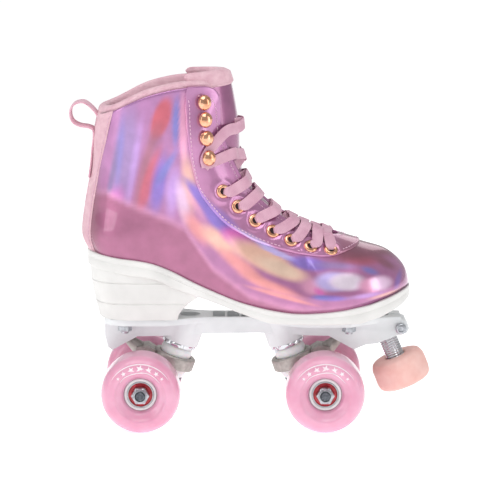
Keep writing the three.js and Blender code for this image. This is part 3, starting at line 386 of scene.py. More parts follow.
# %% [markdown]
# The sole and plate are moulded in white plastic: nearly even, with a faint cloudiness. Metals differ mostly
# in how rough they are: a cast truck is dull and grainy, a washer is polished, a nut lies between.

# %% Finishes of plastics and metals
white = Finish("white_sole", "f0efed", 0.42, Coat_Weight=0.12, Coat_Roughness=0.3)
white.paint(white.ramp(white.noise(0.03), (0.3, "dddcda"), (0.7, "ebeae8"))).relief(
    white.noise(0.0014), 0.00007, 0.35).rough(white.noise(0.02), 0.36, 0.5)
nylon = Finish("white_nylon", "eef0f0", 0.34, Coat_Weight=0.25, Coat_Roughness=0.2)
nylon.paint(nylon.ramp(nylon.noise(0.025), (0.3, "dde1e3"), (0.7, "ebeef0"))).relief(
    nylon.noise(0.001), 0.00005, 0.3).rough(nylon.noise(0.015), 0.28, 0.42)
cast = Finish("cast_metal", "aaa49d", 0.5, Metallic=0.75)
cast.paint(cast.ramp(cast.noise(0.004, 5.0), (0.3, "a39e99"), (0.7, "c2beb9"))).relief(
    cast.noise(0.0012, 4.0), 0.00016, 0.6).rough(cast.noise(0.003), 0.4, 0.62)
steel = Finish("zinc_steel", "b9bcc2", 0.3, Metallic=0.95)
steel.paint(steel.ramp(steel.noise(0.003), (0.3, "9fa2a8"), (0.7, "c9ccd1")))
steel.rough(steel.noise(0.002), 0.22, 0.4)
dark_steel = Finish("dark_steel", "5d6068", 0.4, Metallic=0.85)
dark_steel.paint(dark_steel.ramp(dark_steel.noise(0.002), (0.3, "4a4d54"), (0.7, "74777e")))
chrome = Finish("chrome", "d4d6da", 0.08, Metallic=1.0)
chrome.rough(chrome.noise(0.004), 0.05, 0.14)
rose_gold = Finish("rose_gold", "eeb08c", 0.14, Metallic=1.0)
rose_gold.paint(rose_gold.ramp(rose_gold.noise(0.004), (0.3, "dd9a76"), (0.7, "f7c6a6"))).rough(
    rose_gold.noise(0.003), 0.1, 0.2)
print("metals:", [f.material.name for f in (cast, steel, dark_steel, chrome, rose_gold)])

# %% [markdown]
# Wheels are cast urethane, slightly see-through, so a little light goes in and comes out pink. The cushions
# are the same stuff in white. The toe stop is dry rubber with a chalky, scuffed skin.

# %% Finishes of urethane and rubber
urethane = Finish("pink_urethane", "e8a4c0", 0.3, Coat_Weight=0.8, Coat_Roughness=0.08,
                  Subsurface_Weight=0.25, Subsurface_Scale=0.006)
urethane.shader.inputs["Subsurface Radius"].default_value = (1.0, 0.45, 0.55)
urethane.paint(urethane.ramp(urethane.noise(0.02), (0.3, "e298b6"), (0.7, "ecb0ca"))).relief(
    urethane.noise(0.0011), 0.00005, 0.3).rough(urethane.noise(0.012), 0.24, 0.38)
soft_white = Finish("white_urethane", "efeeea", 0.4, Subsurface_Weight=0.2, Subsurface_Scale=0.004)
soft_white.paint(soft_white.ramp(soft_white.noise(0.008), (0.3, "eeeff0"), (0.7, "fafbfb")))
core_white = Finish("core_plastic", "f1eff0", 0.3, Coat_Weight=0.3)
core_white.paint(core_white.ramp(core_white.noise(0.01), (0.3, "e2dfe1"), (0.7, "f6f4f5")))
red = Finish("red_shield", "b3202e", 0.25, Metallic=0.35, Coat_Weight=0.6)
red.paint(red.ramp(red.noise(0.004), (0.3, "98141f"), (0.7, "c93040")))
salmon = Finish("stop_rubber", "eebcb3", 0.72)
salmon.paint(salmon.ramp(salmon.noise(0.012, 4.0), (0.3, "efb9b0"), (0.7, "f9d0c8"))).relief(
    salmon.noise(0.0008, 4.0), 0.00012, 0.6).rough(salmon.noise(0.006), 0.62, 0.85)
print_white = Finish("wheel_print", "fbeef4", 0.35)
print_white.paint(print_white.ramp(print_white.noise(0.003), (0.3, "f6e1ea"), (0.7, "fff8fb")))
# Painted shadow: a near-black finish for the discs that stand for the shade inside the eyelets.
shadow = Finish("eyelet_hole", "2b1c22", 0.9)
shadow.paint(shadow.ramp(shadow.noise(0.002), (0.3, "22151b"), (0.7, "3a262f")))
print("urethane lets light in to", urethane.shader.inputs["Subsurface Scale"].default_value / MM, "mm")

# %% [markdown]
# ## The shape of the boot
# A boot is drawn as guide lines from the sole up to the top line, like the ribs of a ship. Any point of the
# upper is then found from two numbers: how far around, counted in guides from the toe by the outer side, and
# how far up, from 0 at the sole to 1 at the top line. Smooth curves run through the guides both ways.


# %% Smooth curves through points
def glide(points, t, closed=False):
    """Catmull-Rom: each stretch is a cubic whose slope at a point is half the step between its neighbours."""
    p, t = np.asarray(points, float), np.asarray(t, float)
    n = len(p)
    if closed:
        whole = np.floor(t).astype(int)
        near = [p[(whole + k) % n] for k in (-1, 0, 1, 2)]
    else:
        whole = np.clip(np.floor(t).astype(int), 0, n - 2)
        longer = np.concatenate([2 * p[:1] - p[1:2], p, 2 * p[-1:] - p[-2:-1]])
        near = [longer[whole + k] for k in (0, 1, 2, 3)]
    return cubic(near, t - whole)


def cubic(near, f):
    """The weighted sum of four neighbours, at a fraction f of the way from the second to the third."""
    weights = (-0.5 * f + f**2 - 0.5 * f**3, 1 - 2.5 * f**2 + 1.5 * f**3,
               0.5 * f + 2 * f**2 - 1.5 * f**3, -0.5 * f**2 + 0.5 * f**3)
    return sum(w.reshape(w.shape + (1,) * (p.ndim - w.ndim)) * p for w, p in zip(weights, near))


print("halfway along a corner:", glide([[0, 0], [1, 0], [1, 1]], np.array([0.5, 1.5])).round(3).tolist())

# %% [markdown]
# The sole comes first, because the upper stands on it. It is a table of stations from heel to toe: how far
# forward, half the width, and the heights of the rim and of the underside.

# %% The sole's stations and the upper's guides
SOLE = np.array([
    [-121, 5.0, 143.8, 133.5], [-119, 11.5, 143.5, 133.2], [-116, 17.0, 143.0, 132.6],
    [-111, 22.8, 142.2, 131.8], [-104, 27.6, 141.1, 130.6], [-94, 31.4, 139.7, 129.0],
    [-80, 33.6, 138.3, 127.1], [-68, 33.5, 136.0, 125.3], [-59, 33.2, 133.0, 122.2],
    [-49, 32.4, 128.5, 117.0], [-36, 31.7, 121.4, 112.1], [-23, 31.5, 115.1, 107.5],
    [-9, 32.6, 109.2, 102.4], [4, 34.5, 104.3, 97.3], [18, 37.7, 100.6, 92.9], [32, 41.4, 97.9, 89.3],
    [48, 45.2, 96.2, 89.3], [64, 48.1, 96.4, 89.3], [80, 48.5, 97.6, 89.3], [92, 47.1, 98.9, 89.3],
    [104, 44.4, 100.9, 89.3], [113, 41.4, 102.5, 91.3], [122, 37.4, 104.9, 93.4], [131, 31.4, 107.3, 96.8],
    [138, 24.5, 109.4, 99.4], [143, 17.5, 111.0, 102.3], [146, 11.0, 111.9, 104.2],
    [147.5, 5.0, 112.3, 105.2]])
GUIDES = np.array([
    [[143.5, 0, 0], [146.8, 0, 117], [142.2, 0, 131], [128, 0, 144.2], [108, 0, 150.8], [88, 0, 156.6]],
    [[134.5, 21, 0], [137.8, 23.5, 117], [132.5, 21.8, 131], [120, 16.5, 143], [103.5, 10.5, 150.5],
     [86, 6.5, 157]],
    [[116, 36, 0], [118.5, 40, 113.5], [114.5, 37.5, 128], [104.5, 29, 140.6], [91.5, 20, 150.3],
     [79, 12, 158]],
    [[90, 43.8, 0], [91, 47.2, 110], [88, 44.8, 123.5], [82, 36.8, 137.2], [74, 26.5, 149.5],
     [67, 14.6, 160.8]],
    [[60, 43.6, 0], [60, 47, 109], [57.5, 44.2, 124], [53.5, 37.3, 141], [49.5, 27.4, 156.8],
     [51, 15.2, 168]],
    [[30, 37, 0], [29, 40.2, 112], [26.5, 38.8, 130], [23.5, 34.8, 149], [25, 27.2, 168], [33.5, 16, 179]],
    [[13, 33.6, 0], [12.6, 37, 116], [11, 36.6, 136], [9.5, 34, 157], [12, 27.2, 178], [18, 16.4, 193]],
    [[-4, 30.6, 0], [-4.4, 34.4, 124], [-6, 34.6, 147], [-7, 33.2, 172], [-4, 28, 196], [5, 17.2, 210.5]],
    [[-23, 28.6, 0], [-23.6, 32.8, 134], [-25, 33.8, 162], [-25.5, 33.6, 194], [-21, 31, 225],
     [-9.5, 20, 248]],
    [[-43, 29, 0], [-43.4, 33.6, 145], [-43.5, 34.4, 177], [-39.5, 34.6, 211], [-29.5, 33.8, 248],
     [-13.5, 22.5, 279]],
    [[-62, 30.6, 0], [-62.4, 34.8, 152], [-60.5, 34.4, 183], [-56, 34.8, 217], [-47, 35.6, 252],
     [-37, 32.5, 283.5]],
    [[-84, 30.2, 0], [-85.4, 33.6, 155], [-84, 32.6, 185], [-79, 33, 217], [-73, 36, 249],
     [-67.6, 36.6, 277.6]],
    [[-103, 25.2, 0], [-106, 27.2, 158], [-104.2, 25.4, 185], [-99.6, 26, 214], [-96, 30.6, 242],
     [-92, 33.4, 267]],
    [[-113, 16, 0], [-117.6, 16.6, 159], [-115.4, 14.8, 185], [-110.8, 15.4, 214], [-108, 19, 240],
     [-105.5, 21, 261]],
    [[-117.5, 0, 0], [-124, 0, 159], [-121, 0, 186], [-116, 0, 214], [-114, 0, 240], [-110, 0, 260]]], float)
HEEL = len(GUIDES) - 1
LEVELS = GUIDES.shape[1] - 1
TOUCH = 0.6


def lean(x):
    """How far the toe turns in: from 0 at mid-foot, smoothly up to 4 mm."""
    t = np.clip((np.asarray(x, float) - 40) / 110, 0, 1)
    return 4 * t * t * (3 - 2 * t)


def side_guides(side):
    """The guides of one side of the foot as points. A height of 0 means on the sole's rim."""
    x, half, height = np.moveaxis(GUIDES, -1, 0)
    rim = np.interp(x, SOLE[:, 0], SOLE[:, 2]) + TOUCH
    return np.stack([x, side * half + lean(x), np.where(height == 0, rim, height)], -1)


LOOP = np.concatenate([side_guides(-1), side_guides(1)[1:HEEL][::-1]])
print(len(LOOP), "guides of", LEVELS + 1, "points")


# %% Any point of the upper
def upper(around, up):
    """The point at `around` guides and `up` the guide: a smooth curve through the guides, then up them."""
    around, up = np.broadcast_arrays(np.asarray(around, float), np.asarray(up, float))
    columns = glide(LOOP, around.ravel() % len(LOOP), closed=True)
    longer = np.concatenate([2 * columns[:, :1] - columns[:, 1:2], columns,
                             2 * columns[:, -1:] - columns[:, -2:-1]], axis=1)
    t = up.ravel() * LEVELS
    whole = np.clip(np.floor(t).astype(int), 0, LEVELS - 1)
    rows = np.arange(len(t))
    near = [longer[rows, whole + k] for k in range(4)]
    return cubic(near, t - whole).reshape(around.shape + (3,))


def facing(around, up):
    """The direction that the upper faces: the step up the guide crossed with the step around."""
    low, high = np.clip(up - 0.02, 0, 0.98), np.clip(up + 0.02, 0.02, 1)
    across = upper(around + 0.04, up) - upper(around - 0.04, up)
    rise = upper(around, high) - upper(around, low)
    normal = np.cross(rise, across)
    return normal / np.linalg.norm(normal, axis=-1, keepdims=True)


def on_upper(around, up, out):
    """A point `out` millimetres off the upper."""
    around, up, out = np.broadcast_arrays(*(np.asarray(v, float) for v in (around, up, out)))
    return upper(around, up) + facing(around, up) * out[..., None]


print("top of the heel at", upper(HEEL, 1.0).round(1).tolist())

# %% [markdown]
# ## The holographic colours
# The film's bands, which are painted reflections and highlights, are laid down as soft ellipses over a rose
# base, one after another as a painter would: each has a place, two half sizes, a turn, a softness and a
# colour. Every point of the vinyl takes its colour from them once, so the painted reflections stay on the boot
# however it is turned.

# %% Bands of colour
# Tones of the pink film, and of the reflections and highlights painted on it.
FILM_AND_REFLECTION_TONES = {name: np.array(tone(code)[:3]) for name, code in {
    "rose": "b3719f", "calm": "a96386", "brown": "ad6c82", "deep": "a8648a", "mauve": "945a78",
    "wine": "8f5468", "violet": "8f74cc", "blue": "8684d2", "lilac": "c59be0", "lavender": "cdbcf4",
    "pink": "f2a9cd", "hot": "ea70c4", "peach": "fac3ae", "cream": "ffd3bd", "red": "cf6274",
    "orange": "ee9a96", "pale": "f3cfee", "white": "fbe4fa", "grey": "9f86bd", "dusk": "7f6f9d"}.items()}
# Each band below is a painted reflection or highlight of the holographic film.
BANDS = [
    # x, z, half length, half width, turn in degrees, softness, colour, strength
    (-88, 225, 60, 13, 82, 0.6, "grey", 0.8), (-92, 232, 45, 5, 84, 0.9, "blue", 0.6),
    (-80, 222, 55, 5, 80, 0.9, "lilac", 0.75), (-100, 205, 50, 4, 78, 0.9, "dusk", 0.8),
    (-72, 215, 55, 7, 76, 0.8, "brown", 0.9), (-68, 208, 38, 7, 72, 0.6, "red", 0.8),
    (-58, 259, 22, 9, 72, 0.45, "red", 1.0), (-62, 244, 18, 8, 78, 0.8, "wine", 0.5),
    (-60, 205, 34, 9, 80, 0.7, "violet", 0.95), (-54, 218, 24, 5, 60, 0.8, "blue", 0.9),
    (-46, 256, 28, 4.5, 88, 0.7, "blue", 0.95), (-49, 200, 30, 9, 86, 0.8, "lilac", 0.95),
    (-40, 250, 40, 4.5, 90, 0.6, "pink", 1.0), (-36, 205, 34, 8, 96, 0.8, "peach", 0.85),
    (-41, 190, 26, 7, 100, 0.8, "pale", 0.8), (-30, 188, 22, 6, 120, 0.8, "pink", 0.6),
    (-24, 190, 34, 6, 128, 0.6, "violet", 1.0), (-8, 172, 30, 10, 135, 0.5, "violet", 1.0),
    (-30, 168, 24, 9, 125, 0.8, "orange", 0.8), (-12, 158, 24, 10, 140, 0.7, "peach", 0.9),
    (2, 160, 18, 9, 150, 0.7, "hot", 1.0), (12, 152, 28, 8, 152, 0.8, "pink", 0.9),
    (26, 143, 42, 12, 156, 0.6, "peach", 1.0), (40, 135, 32, 9, 160, 0.7, "cream", 1.0),
    (8, 136, 36, 8, 142, 0.7, "orange", 0.85), (32, 121, 38, 6, 160, 0.8, "orange", 0.85),
    (20, 158, 30, 2.6, 150, 0.5, "lavender", 1.0), (40, 146, 26, 2.6, 158, 0.5, "lavender", 1.0),
    (62, 139, 22, 7, 170, 0.6, "violet", 0.95), (84, 137, 24, 4, 176, 0.8, "grey", 0.8),
    (104, 141, 26, 6, 172, 0.8, "red", 0.75), (126, 136, 16, 4, 150, 0.8, "wine", 0.8),
    # The lavender and white bands on the toe are a painted highlight.
    (66, 121, 16, 9, 170, 0.8, "pink", 1.0), (82, 125, 19, 9.5, 178, 0.5, "lavender", 1.0),
    (94, 124.5, 19, 8.5, 177, 0.5, "white", 1.0), (112, 121, 13, 8, 172, 0.7, "pink", 0.95),
    (71, 117, 8, 4, 150, 0.9, "hot", 0.9),
    (122, 122, 13, 7.5, 172, 0.6, "pale", 1.0), (113, 132, 11, 3.4, 160, 0.8, "blue", 0.8),
    (137, 122, 4, 10, 160, 0.8, "violet", 0.7), (80, 112, 20, 3.4, 178, 0.7, "violet", 0.9),
    (72, 113, 10, 3, 176, 0.8, "blue", 0.7), (110, 113, 22, 3.0, 4, 0.8, "lilac", 0.7),
    (126, 112, 20, 2.4, 8, 0.8, "peach", 0.6), (40, 113, 40, 2.6, 166, 0.7, "orange", 0.8),
    (-96, 190, 18, 9, 70, 0.7, "hot", 0.45), (-100, 172, 16, 8, 95, 0.5, "grey", 0.75)]


def ellipse(x, z, band):
    """How much of one band lies at each point: 1 in its middle, falling smoothly to 0 at its rim."""
    cx, cz, long, wide, turn, softness, _, strength = band
    c, s = math.cos(math.radians(turn)), math.sin(math.radians(turn))
    along, across = (x - cx) * c + (z - cz) * s, -(x - cx) * s + (z - cz) * c
    t = np.clip((1 - np.hypot(along / long, across / wide)) / softness, 0, 1)
    return strength * t * t * (3 - 2 * t)


print(len(BANDS), "bands in", len(FILM_AND_REFLECTION_TONES), "colours")


# %% The colour of any point of the film
LUSTRE = 1.1
CALM_EDGE = ([-125, -104, -80, -40, -16, 14, 40, 75, 150], [196, 199, 187, 170, 136, 112, 105, 103, 101])


def film(points):
    """Painted reflections on the pink film: rose shaded towards lilac by height, then every band in turn, then
    the calm lower quarter with a painted highlight along its edge, the dark toe top and the darker heel back.
    """
    x, y, z = points.T
    inner = y > lean(x)
    x, z = np.where(inner, x - 9, x), np.where(inner, z + 3, z)
    rise = np.clip((z - 100) / 180, 0, 1)[:, None]
    colour = FILM_AND_REFLECTION_TONES["rose"] * (1 - 0.25 * rise) + FILM_AND_REFLECTION_TONES["lilac"] * 0.25 * rise
    for band in BANDS:
        amount = ellipse(x, z, band)[:, None]
        colour = colour * (1 - amount) + FILM_AND_REFLECTION_TONES[band[6]] * amount
    edge = np.interp(x, *CALM_EDGE)
    swell = 0.9 * np.sin(x / 13.0)
    calm = np.clip((edge + swell - z) / 4.5, 0, 1)[:, None]
    # A painted highlight: a lighter pink line along the top of the calm lower quarter.
    painted_highlight = np.clip(1 - np.abs(edge + swell - z - 1.5) / 5, 0, 1)[:, None] * 0.35
    colour = colour * (1 - calm) + FILM_AND_REFLECTION_TONES["calm"] * calm
    colour = colour * (1 - painted_highlight) + FILM_AND_REFLECTION_TONES["pink"] * painted_highlight
    # The darker toe top and the darker back of the heel are part of the painted reflections.
    toe = (np.clip((x - 78) / 14, 0, 1) * np.clip((z - 136) / 7, 0, 1))[:, None] * 0.9
    back = np.clip((-108 - x) / 7, 0, 1)[:, None] * 0.7
    colour = colour * (1 - toe) + FILM_AND_REFLECTION_TONES["wine"] * toe
    return np.minimum((colour * (1 - back) + FILM_AND_REFLECTION_TONES["wine"] * back) * LUSTRE, 1)


def tint(obj, darker=0.0, towards="mauve"):
    """Keeps the film's colour at every point of a mesh, under the name Hologram."""
    co = np.empty(len(obj.data.vertices) * 3)
    obj.data.vertices.foreach_get("co", co)
    colour = film(co.reshape(-1, 3) / MM - (MIDDLE_X, 0, 0))
    colour = colour * (1 - darker) + FILM_AND_REFLECTION_TONES[towards] * darker
    layer = obj.data.color_attributes.new("Hologram", "FLOAT_COLOR", "POINT")
    layer.data.foreach_set("color", np.column_stack([colour, np.ones(len(colour))]).ravel())
    return obj


print("mid-quarter colour:", film(np.array([[-50.0, -30, 200]])).round(2).tolist())

# %% [markdown]
# ## The shell of the boot
# The shell is one closed wall, 2 mm thick: up the outside, over a rounded top line, down the inside. The
# section is the same everywhere, so the whole shell is one grid that closes on itself both ways. The vinyl
# isn't perfectly smooth: it lies in long shallow waves, which break up the reflections, and it has a crease
# across the toes.


# %% Shell
def waves(around, up):
    """Long shallow waves of a fifth of a millimetre, and a narrow crease where the toes bend."""
    broad = 0.16 * np.sin(around * 2.3 + up * 7) + 0.13 * np.sin(around * 1.1 - up * 11 + 1)
    at = np.where(around > HEEL, 2 * HEEL - around, around)
    crease = -0.7 * np.exp(-(((at - 3.75) / 0.09) ** 2)) * np.exp(-(((up - 0.5) / 0.16) ** 2))
    hold = np.clip(up / 0.08, 0, 1) * np.clip((1 - up) / 0.08, 0, 1)
    return (broad + crease) * hold


def wall_section(rows, thick):
    """Up the outside at offset 0, over the top line, and down the inside at minus the thickness."""
    outside = np.linspace(0, 0.992, rows)
    over = np.linspace(0, math.pi, 7)[1:-1]
    inside = np.linspace(0.992, 0, rows // 3)
    ups = np.concatenate([outside, 0.992 + 0.006 * np.sin(over), inside])
    outs = np.concatenate([0 * outside, -thick / 2 * (1 - np.cos(over)), 0 * inside - thick])
    return ups, outs


SHELL = 2.0
around = np.linspace(0, len(LOOP), 341)[:-1][:, None]
ups, outs = wall_section(66, SHELL)
on_outside = (outs == 0) * 1.0
shell_points = on_upper(around, ups[None, :], outs[None, :] + waves(around, ups[None, :]) * on_outside)
shell = piece("vinyl_upper", shell_points, grid_faces(*shell_points.shape[:2], True, True), vinyl.material,
              "boot", ["upper_shell"])
tint(shell)
print("shell:", len(shell.data.polygons), "faces")

# %% [markdown]
# Inside, a millimetre of textile covers the whole wall down to the insole, so no vinyl touches the sock.

# %% Lining
LINING = 1.0
ups = np.concatenate([np.linspace(0.02, 0.95, 44), np.linspace(0.95, 0.02, 22)])
outs = -SHELL - 0.05 - LINING * (np.arange(66) >= 44)
lining_points = on_upper(around, ups[None, :], outs[None, :])
lining = piece("boot_lining", lining_points, grid_faces(*lining_points.shape[:2], True, True)[:, ::-1],
               textile.material, "boot")
print("lining:", len(lining.data.polygons), "faces")

# %% [markdown]
# ## The facings
# The eyelets sit in a second layer of the same vinyl, sewn to the shell along its lower edge and folded over
# the throat. It runs from one side of the collar, down round the toe end of the throat and up the other side.

# %% Facings
EYESTAY_EDGE = np.array([[0, 0.84], [1, 0.79], [2, 0.73], [3, 0.7], [4, 0.67], [5, 0.66], [6, 0.64],
                         [7, 0.6], [8, 0.6], [8.6, 0.65], [9, 0.7], [9.5, 0.79], [9.85, 0.89], [10.0, 0.97]])
FACING = 1.5


def facing_edge(around):
    """The facings' lower edge, up the guide, smoothly through the table."""
    steps = np.interp(np.abs(around), EYESTAY_EDGE[:, 0], np.arange(len(EYESTAY_EDGE)))
    return glide(EYESTAY_EDGE[:, 1:], steps)[..., 0]


def puckers(around, up, places):
    """A dent round each eyelet and a puffed rim round that, as where a ring is pressed into padded vinyl."""
    here, out = upper(around, up), 0.0
    for place in places:
        away = np.linalg.norm(here - upper(*place), axis=-1)
        out = out + 0.75 * np.exp(-(((away - 8.2) / 1.7) ** 2)) - 0.45 * np.exp(-((away / 5.5) ** 4))
    return out


EYELETS = [(2.73, 0.775), (3.45, 0.785), (4.08, 0.785), (4.65, 0.8), (5.5, 0.805), (6.5, 0.79), (7.2, 0.77)]
HOOKS = [(8.03, 0.8), (8.5, 0.828), (8.93, 0.863), (9.3, 0.925)]
run = np.linspace(-10.0, 10.0, 361)[:, None]
share = np.concatenate([[0, 0.004], np.linspace(0.02, 1, 34)])[None, :]
low = facing_edge(run)
up = low + (1.0 - low) * share
lift = 0.12 + FACING * np.clip(share / 0.03, 0, 1) ** 0.5
both_sides = [(s * a, u) for s in (-1, 1) for a, u in EYELETS]
lift = lift + puckers(run, np.clip(up, 0, 1), both_sides) * np.clip(share / 0.1, 0, 1)
top_skin = on_upper(run, np.minimum(up, 0.998), lift)
fold = np.linspace(0, math.pi, 7)[None, 1:]
middle_out, reach = (FACING - SHELL - 0.6) / 2, (FACING + SHELL + 0.8) / 2
throat = on_upper(run, 0.999, middle_out + reach * np.cos(fold))
rise = upper(run, 1.0) - upper(run, 0.97)
rise /= np.linalg.norm(rise, axis=-1, keepdims=True)
throat = throat + rise * (0.9 * np.sin(fold))[..., None]
under = on_upper(run, np.clip(up[:, ::-1][:, 2::6], 0, 0.985), 0.05)
facing_points = np.concatenate([top_skin, throat, under], axis=1)
facings = piece("facings", facing_points, tube_faces(*facing_points.shape[:2]), vinyl.material, "boot",
                ["eyestay"])
tint(facings, 0.25, "pink")
print("facings:", len(facings.data.polygons), "faces")

# %% [markdown]
# ## Stitches
# A seam is a row of short thread capsules lying on the surface, each dipping in at both ends. Hundreds of
# them are needed, so each has only a few faces, and rows that belong together are one piece.


# %% Rows of stitches
STITCH = 2.5
PITCH = 3.3


def stitches(path, faces_out, width=0.85, length=STITCH, pitch=PITCH):
    """Capsules along a path: stations every `pitch`, each a five-ring spindle of six points round."""
    step = np.linalg.norm(np.diff(path, axis=0), axis=1)
    run = np.concatenate([[0], np.cumsum(step)])
    count = max(int(run[-1] / pitch), 1)
    at = (np.arange(count) + 0.5) * run[-1] / count
    place = np.stack([np.interp(at, run, path[:, k]) for k in range(3)], -1)
    ahead = np.stack([np.interp(at + 0.5, run, path[:, k]) - np.interp(at - 0.5, run, path[:, k])
                      for k in range(3)], -1)
    ahead /= np.linalg.norm(ahead, axis=1, keepdims=True)
    out = np.stack([np.interp(at, run, faces_out[:, k]) for k in range(3)], -1)
    out -= (out * ahead).sum(1, keepdims=True) * ahead
    out /= np.linalg.norm(out, axis=1, keepdims=True)
    side = np.cross(ahead, out)
    t = np.array([-1, -0.8, 0, 0.8, 1])[None, :, None, None]
    fat = np.array([0.25, 0.8, 1, 0.8, 0.25])[None, :, None, None]
    angle = np.linspace(0, 2 * math.pi, 6, endpoint=False)[None, None, :, None]
    p = (place[:, None, None] + ahead[:, None, None] * t * length / 2
         + fat * width / 2 * (np.cos(angle) * side[:, None, None] + 0.8 * np.sin(angle) * out[:, None, None])
         + out[:, None, None] * (0.12 - 0.3 * t**2 * np.ones_like(angle)))
    faces = (tube_faces(5, 6)[None] + 30 * np.arange(count)[:, None, None]).reshape(-1, 4)
    return p.reshape(-1, 3), faces


def seam(around, up, out, **more):
    """A row of stitches along a line given in guides and heights, `out` millimetres off the shell."""
    around, up = np.broadcast_arrays(np.asarray(around, float), np.asarray(up, float))
    return stitches(on_upper(around, up, out), facing(around, up), **more)


line = np.linspace(-9.85, 9.85, 700)
back_rise = 0.028 + 0.02 * np.clip((np.abs(line) - 8.8), 0, 1)
rows_of_thread = [seam(line, facing_edge(line) + back_rise, FACING + 0.1)]
rows_of_thread.append(seam(np.linspace(-9.6, 9.6, 700), 0.955, FACING + 0.15))
points, faces = together(rows_of_thread)
piece("stitching", points, faces, thread.material, "boot")
print("stitches:", len(faces) // 28)

# %% [markdown]
# ## Backstay and pull loop
# A strip of textile covers the seam at the back of the heel, widening to the collar. It is slightly padded,
# so it stands a little higher in the middle. The loop is a webbing tape, sewn flat to the strip, led out and
# round, and tucked back under the collar.

# %% Backstay
BACKSTAY_EDGE = np.array([[0, 13.1], [0.2, 13.0], [0.4, 12.95], [0.6, 12.85], [0.8, 12.5], [1, 12.3]])
ups = np.linspace(0.012, 1.0, 90)[:, None]
edge = np.interp(ups, BACKSTAY_EDGE[:, 0], BACKSTAY_EDGE[:, 1])
s = np.linspace(-1, 1, 49)[None, :]
lift = 0.15 + 1.35 * (1 - np.abs(s) ** 9) + 0.35 * (1 - s**2)
outer_face = on_upper(HEEL + s * (HEEL - edge), ups, lift)
inner_face = on_upper(HEEL + s[:, ::-1][:, ::4] * (HEEL - edge), np.minimum(ups, 0.995), 0.05)
points = np.concatenate([outer_face, inner_face], axis=1)
backstay = piece("backstay_strip", points, tube_faces(*points.shape[:2]), textile.material, "boot",
                 ["backstay"])
edges = [seam(HEEL + k * (HEEL - np.interp(np.linspace(0.03, 0.98, 300), *BACKSTAY_EDGE.T) - 0.09),
              np.linspace(0.03, 0.98, 300), 1.5, width=0.6, pitch=2.8, length=2.0) for k in (-1, 1)]
points, faces = together(edges)
piece("backstay_stitching", points, faces, thread.material, "boot")
print("backstay:", len(backstay.data.polygons), "faces")


# %% Tapes along a path
def tape(path, looks, width, thick):
    """A flat section with rounded edges, carried along a path, its face towards `looks` at each point."""
    path, looks = np.asarray(path, float), np.asarray(looks, float)
    ahead = np.gradient(path, axis=0)
    ahead /= np.linalg.norm(ahead, axis=1, keepdims=True)
    out = looks - (looks * ahead).sum(1, keepdims=True) * ahead
    out /= np.linalg.norm(out, axis=1, keepdims=True)
    side = np.cross(ahead, out)
    angle = np.linspace(0, 2 * math.pi, 28, endpoint=False)
    c, sn = np.cos(angle), np.sin(angle)
    u = np.sign(c) * np.abs(c) ** 0.45 * np.asarray(width).reshape(-1, 1) / 2
    v = np.sign(sn) * np.abs(sn) ** 0.5 * thick / 2
    points = path[:, None] + side[:, None] * u[..., None] + out[:, None] * (v + thick / 2)[None, :, None]
    run = np.concatenate([[0], np.cumsum(np.linalg.norm(np.diff(path, axis=0), axis=1))])
    across = np.stack(np.broadcast_arrays(u, run[:, None]), -1)
    return points, tube_faces(*points.shape[:2]), across


LOOP_PATH = np.array([
    [-118.0, 206], [-116.3, 218], [-115.1, 230], [-113.9, 240], [-114.6, 246.2], [-119, 248.6],
    [-125.9, 249.8], [-131, 252.6], [-133, 257.5], [-132.4, 263], [-129, 266.6], [-123.2, 267.4],
    [-117.5, 263.5], [-113, 258], [-110.9, 252]])
flat_path = glide(LOOP_PATH, np.linspace(0, len(LOOP_PATH) - 1, 150))
path = np.column_stack([flat_path[:, 0], 0 * flat_path[:, 0], flat_path[:, 1]])
ahead = np.gradient(path, axis=0)
points, faces, across = tape(path, np.column_stack([-ahead[:, 2], 0 * ahead[:, 0], ahead[:, 0]]), 19, 1.9)
webbing = Finish("loop_webbing", "e6b2c3", 0.8, Sheen_Weight=0.35)
own = webbing.add("UVMap").outputs["UV"]
twill = webbing.add("TexWave", Vector=own, Scale=0.2)
twill.bands_direction = "DIAGONAL"
webbing.paint(webbing.ramp(webbing.noise(0.006), (0.3, "dda3b7"), (0.75, "ecc0ce")))
webbing.relief(twill.outputs["Fac"], 0.0003, 0.8)
piece("webbing_loop", points, faces, webbing.material, "boot", ["pull_loop"], across)
print("loop tape is", round(float(np.linalg.norm(np.diff(path, axis=0), axis=1).sum())), "mm long")

# %% [markdown]
# ## Collar lining
# The collar is a foam band in textile, rolled over inside the top line and standing a few millimetres above
# it. Its cross-section is drawn in the shape the foam fills, and is swept round the top line of the boot.

# %% Collar band
ROLL = np.array([  # height above the top line, distance inwards
    [-24, 2.6], [-16, 2.4], [-8, 2.35], [-1, 2.1], [1.8, 1.5], [3.8, 2.2], [5.2, 4.2], [5.3, 6.6], [3.6, 9.2],
    [-3, 10.6], [-10, 11.0], [-17, 9.8], [-22, 7.0], [-24.5, 4.4]])
turn = np.linspace(9.15, 18.85, 190)[:, None]
base, out = upper(turn, 1.0), facing(turn, 0.99)
rise = upper(turn, 1.0) - upper(turn, 0.96)
rise /= np.linalg.norm(rise, axis=-1, keepdims=True)
roll = glide(np.vstack([ROLL, ROLL[:1]]), np.linspace(0, len(ROLL), 57)[:-1])
ease = np.clip(np.minimum(turn - 9.15, 18.85 - turn) / 0.35, 0.12, 1) ** 0.5
at_heel = np.exp(-(((turn - HEEL) / 1.5) ** 2))
height = roll[None, :, 0] * ease * (1 + 0.45 * at_heel)
inward = 2.4 + (roll[None, :, 1] - 2.4) * ease - 3.2 * at_heel * (roll[None, :, 0] > 0)
down = upper(turn, np.clip(1 + np.minimum(height, 0) / 150, 0, 1))
points = np.where(height[..., None] > 0, base + rise * height[..., None], down) - out * inward[..., None]
collar = piece("collar_padding", points, tube_faces(*points.shape[:2]), textile.material, "boot",
               ["collar_lining"])
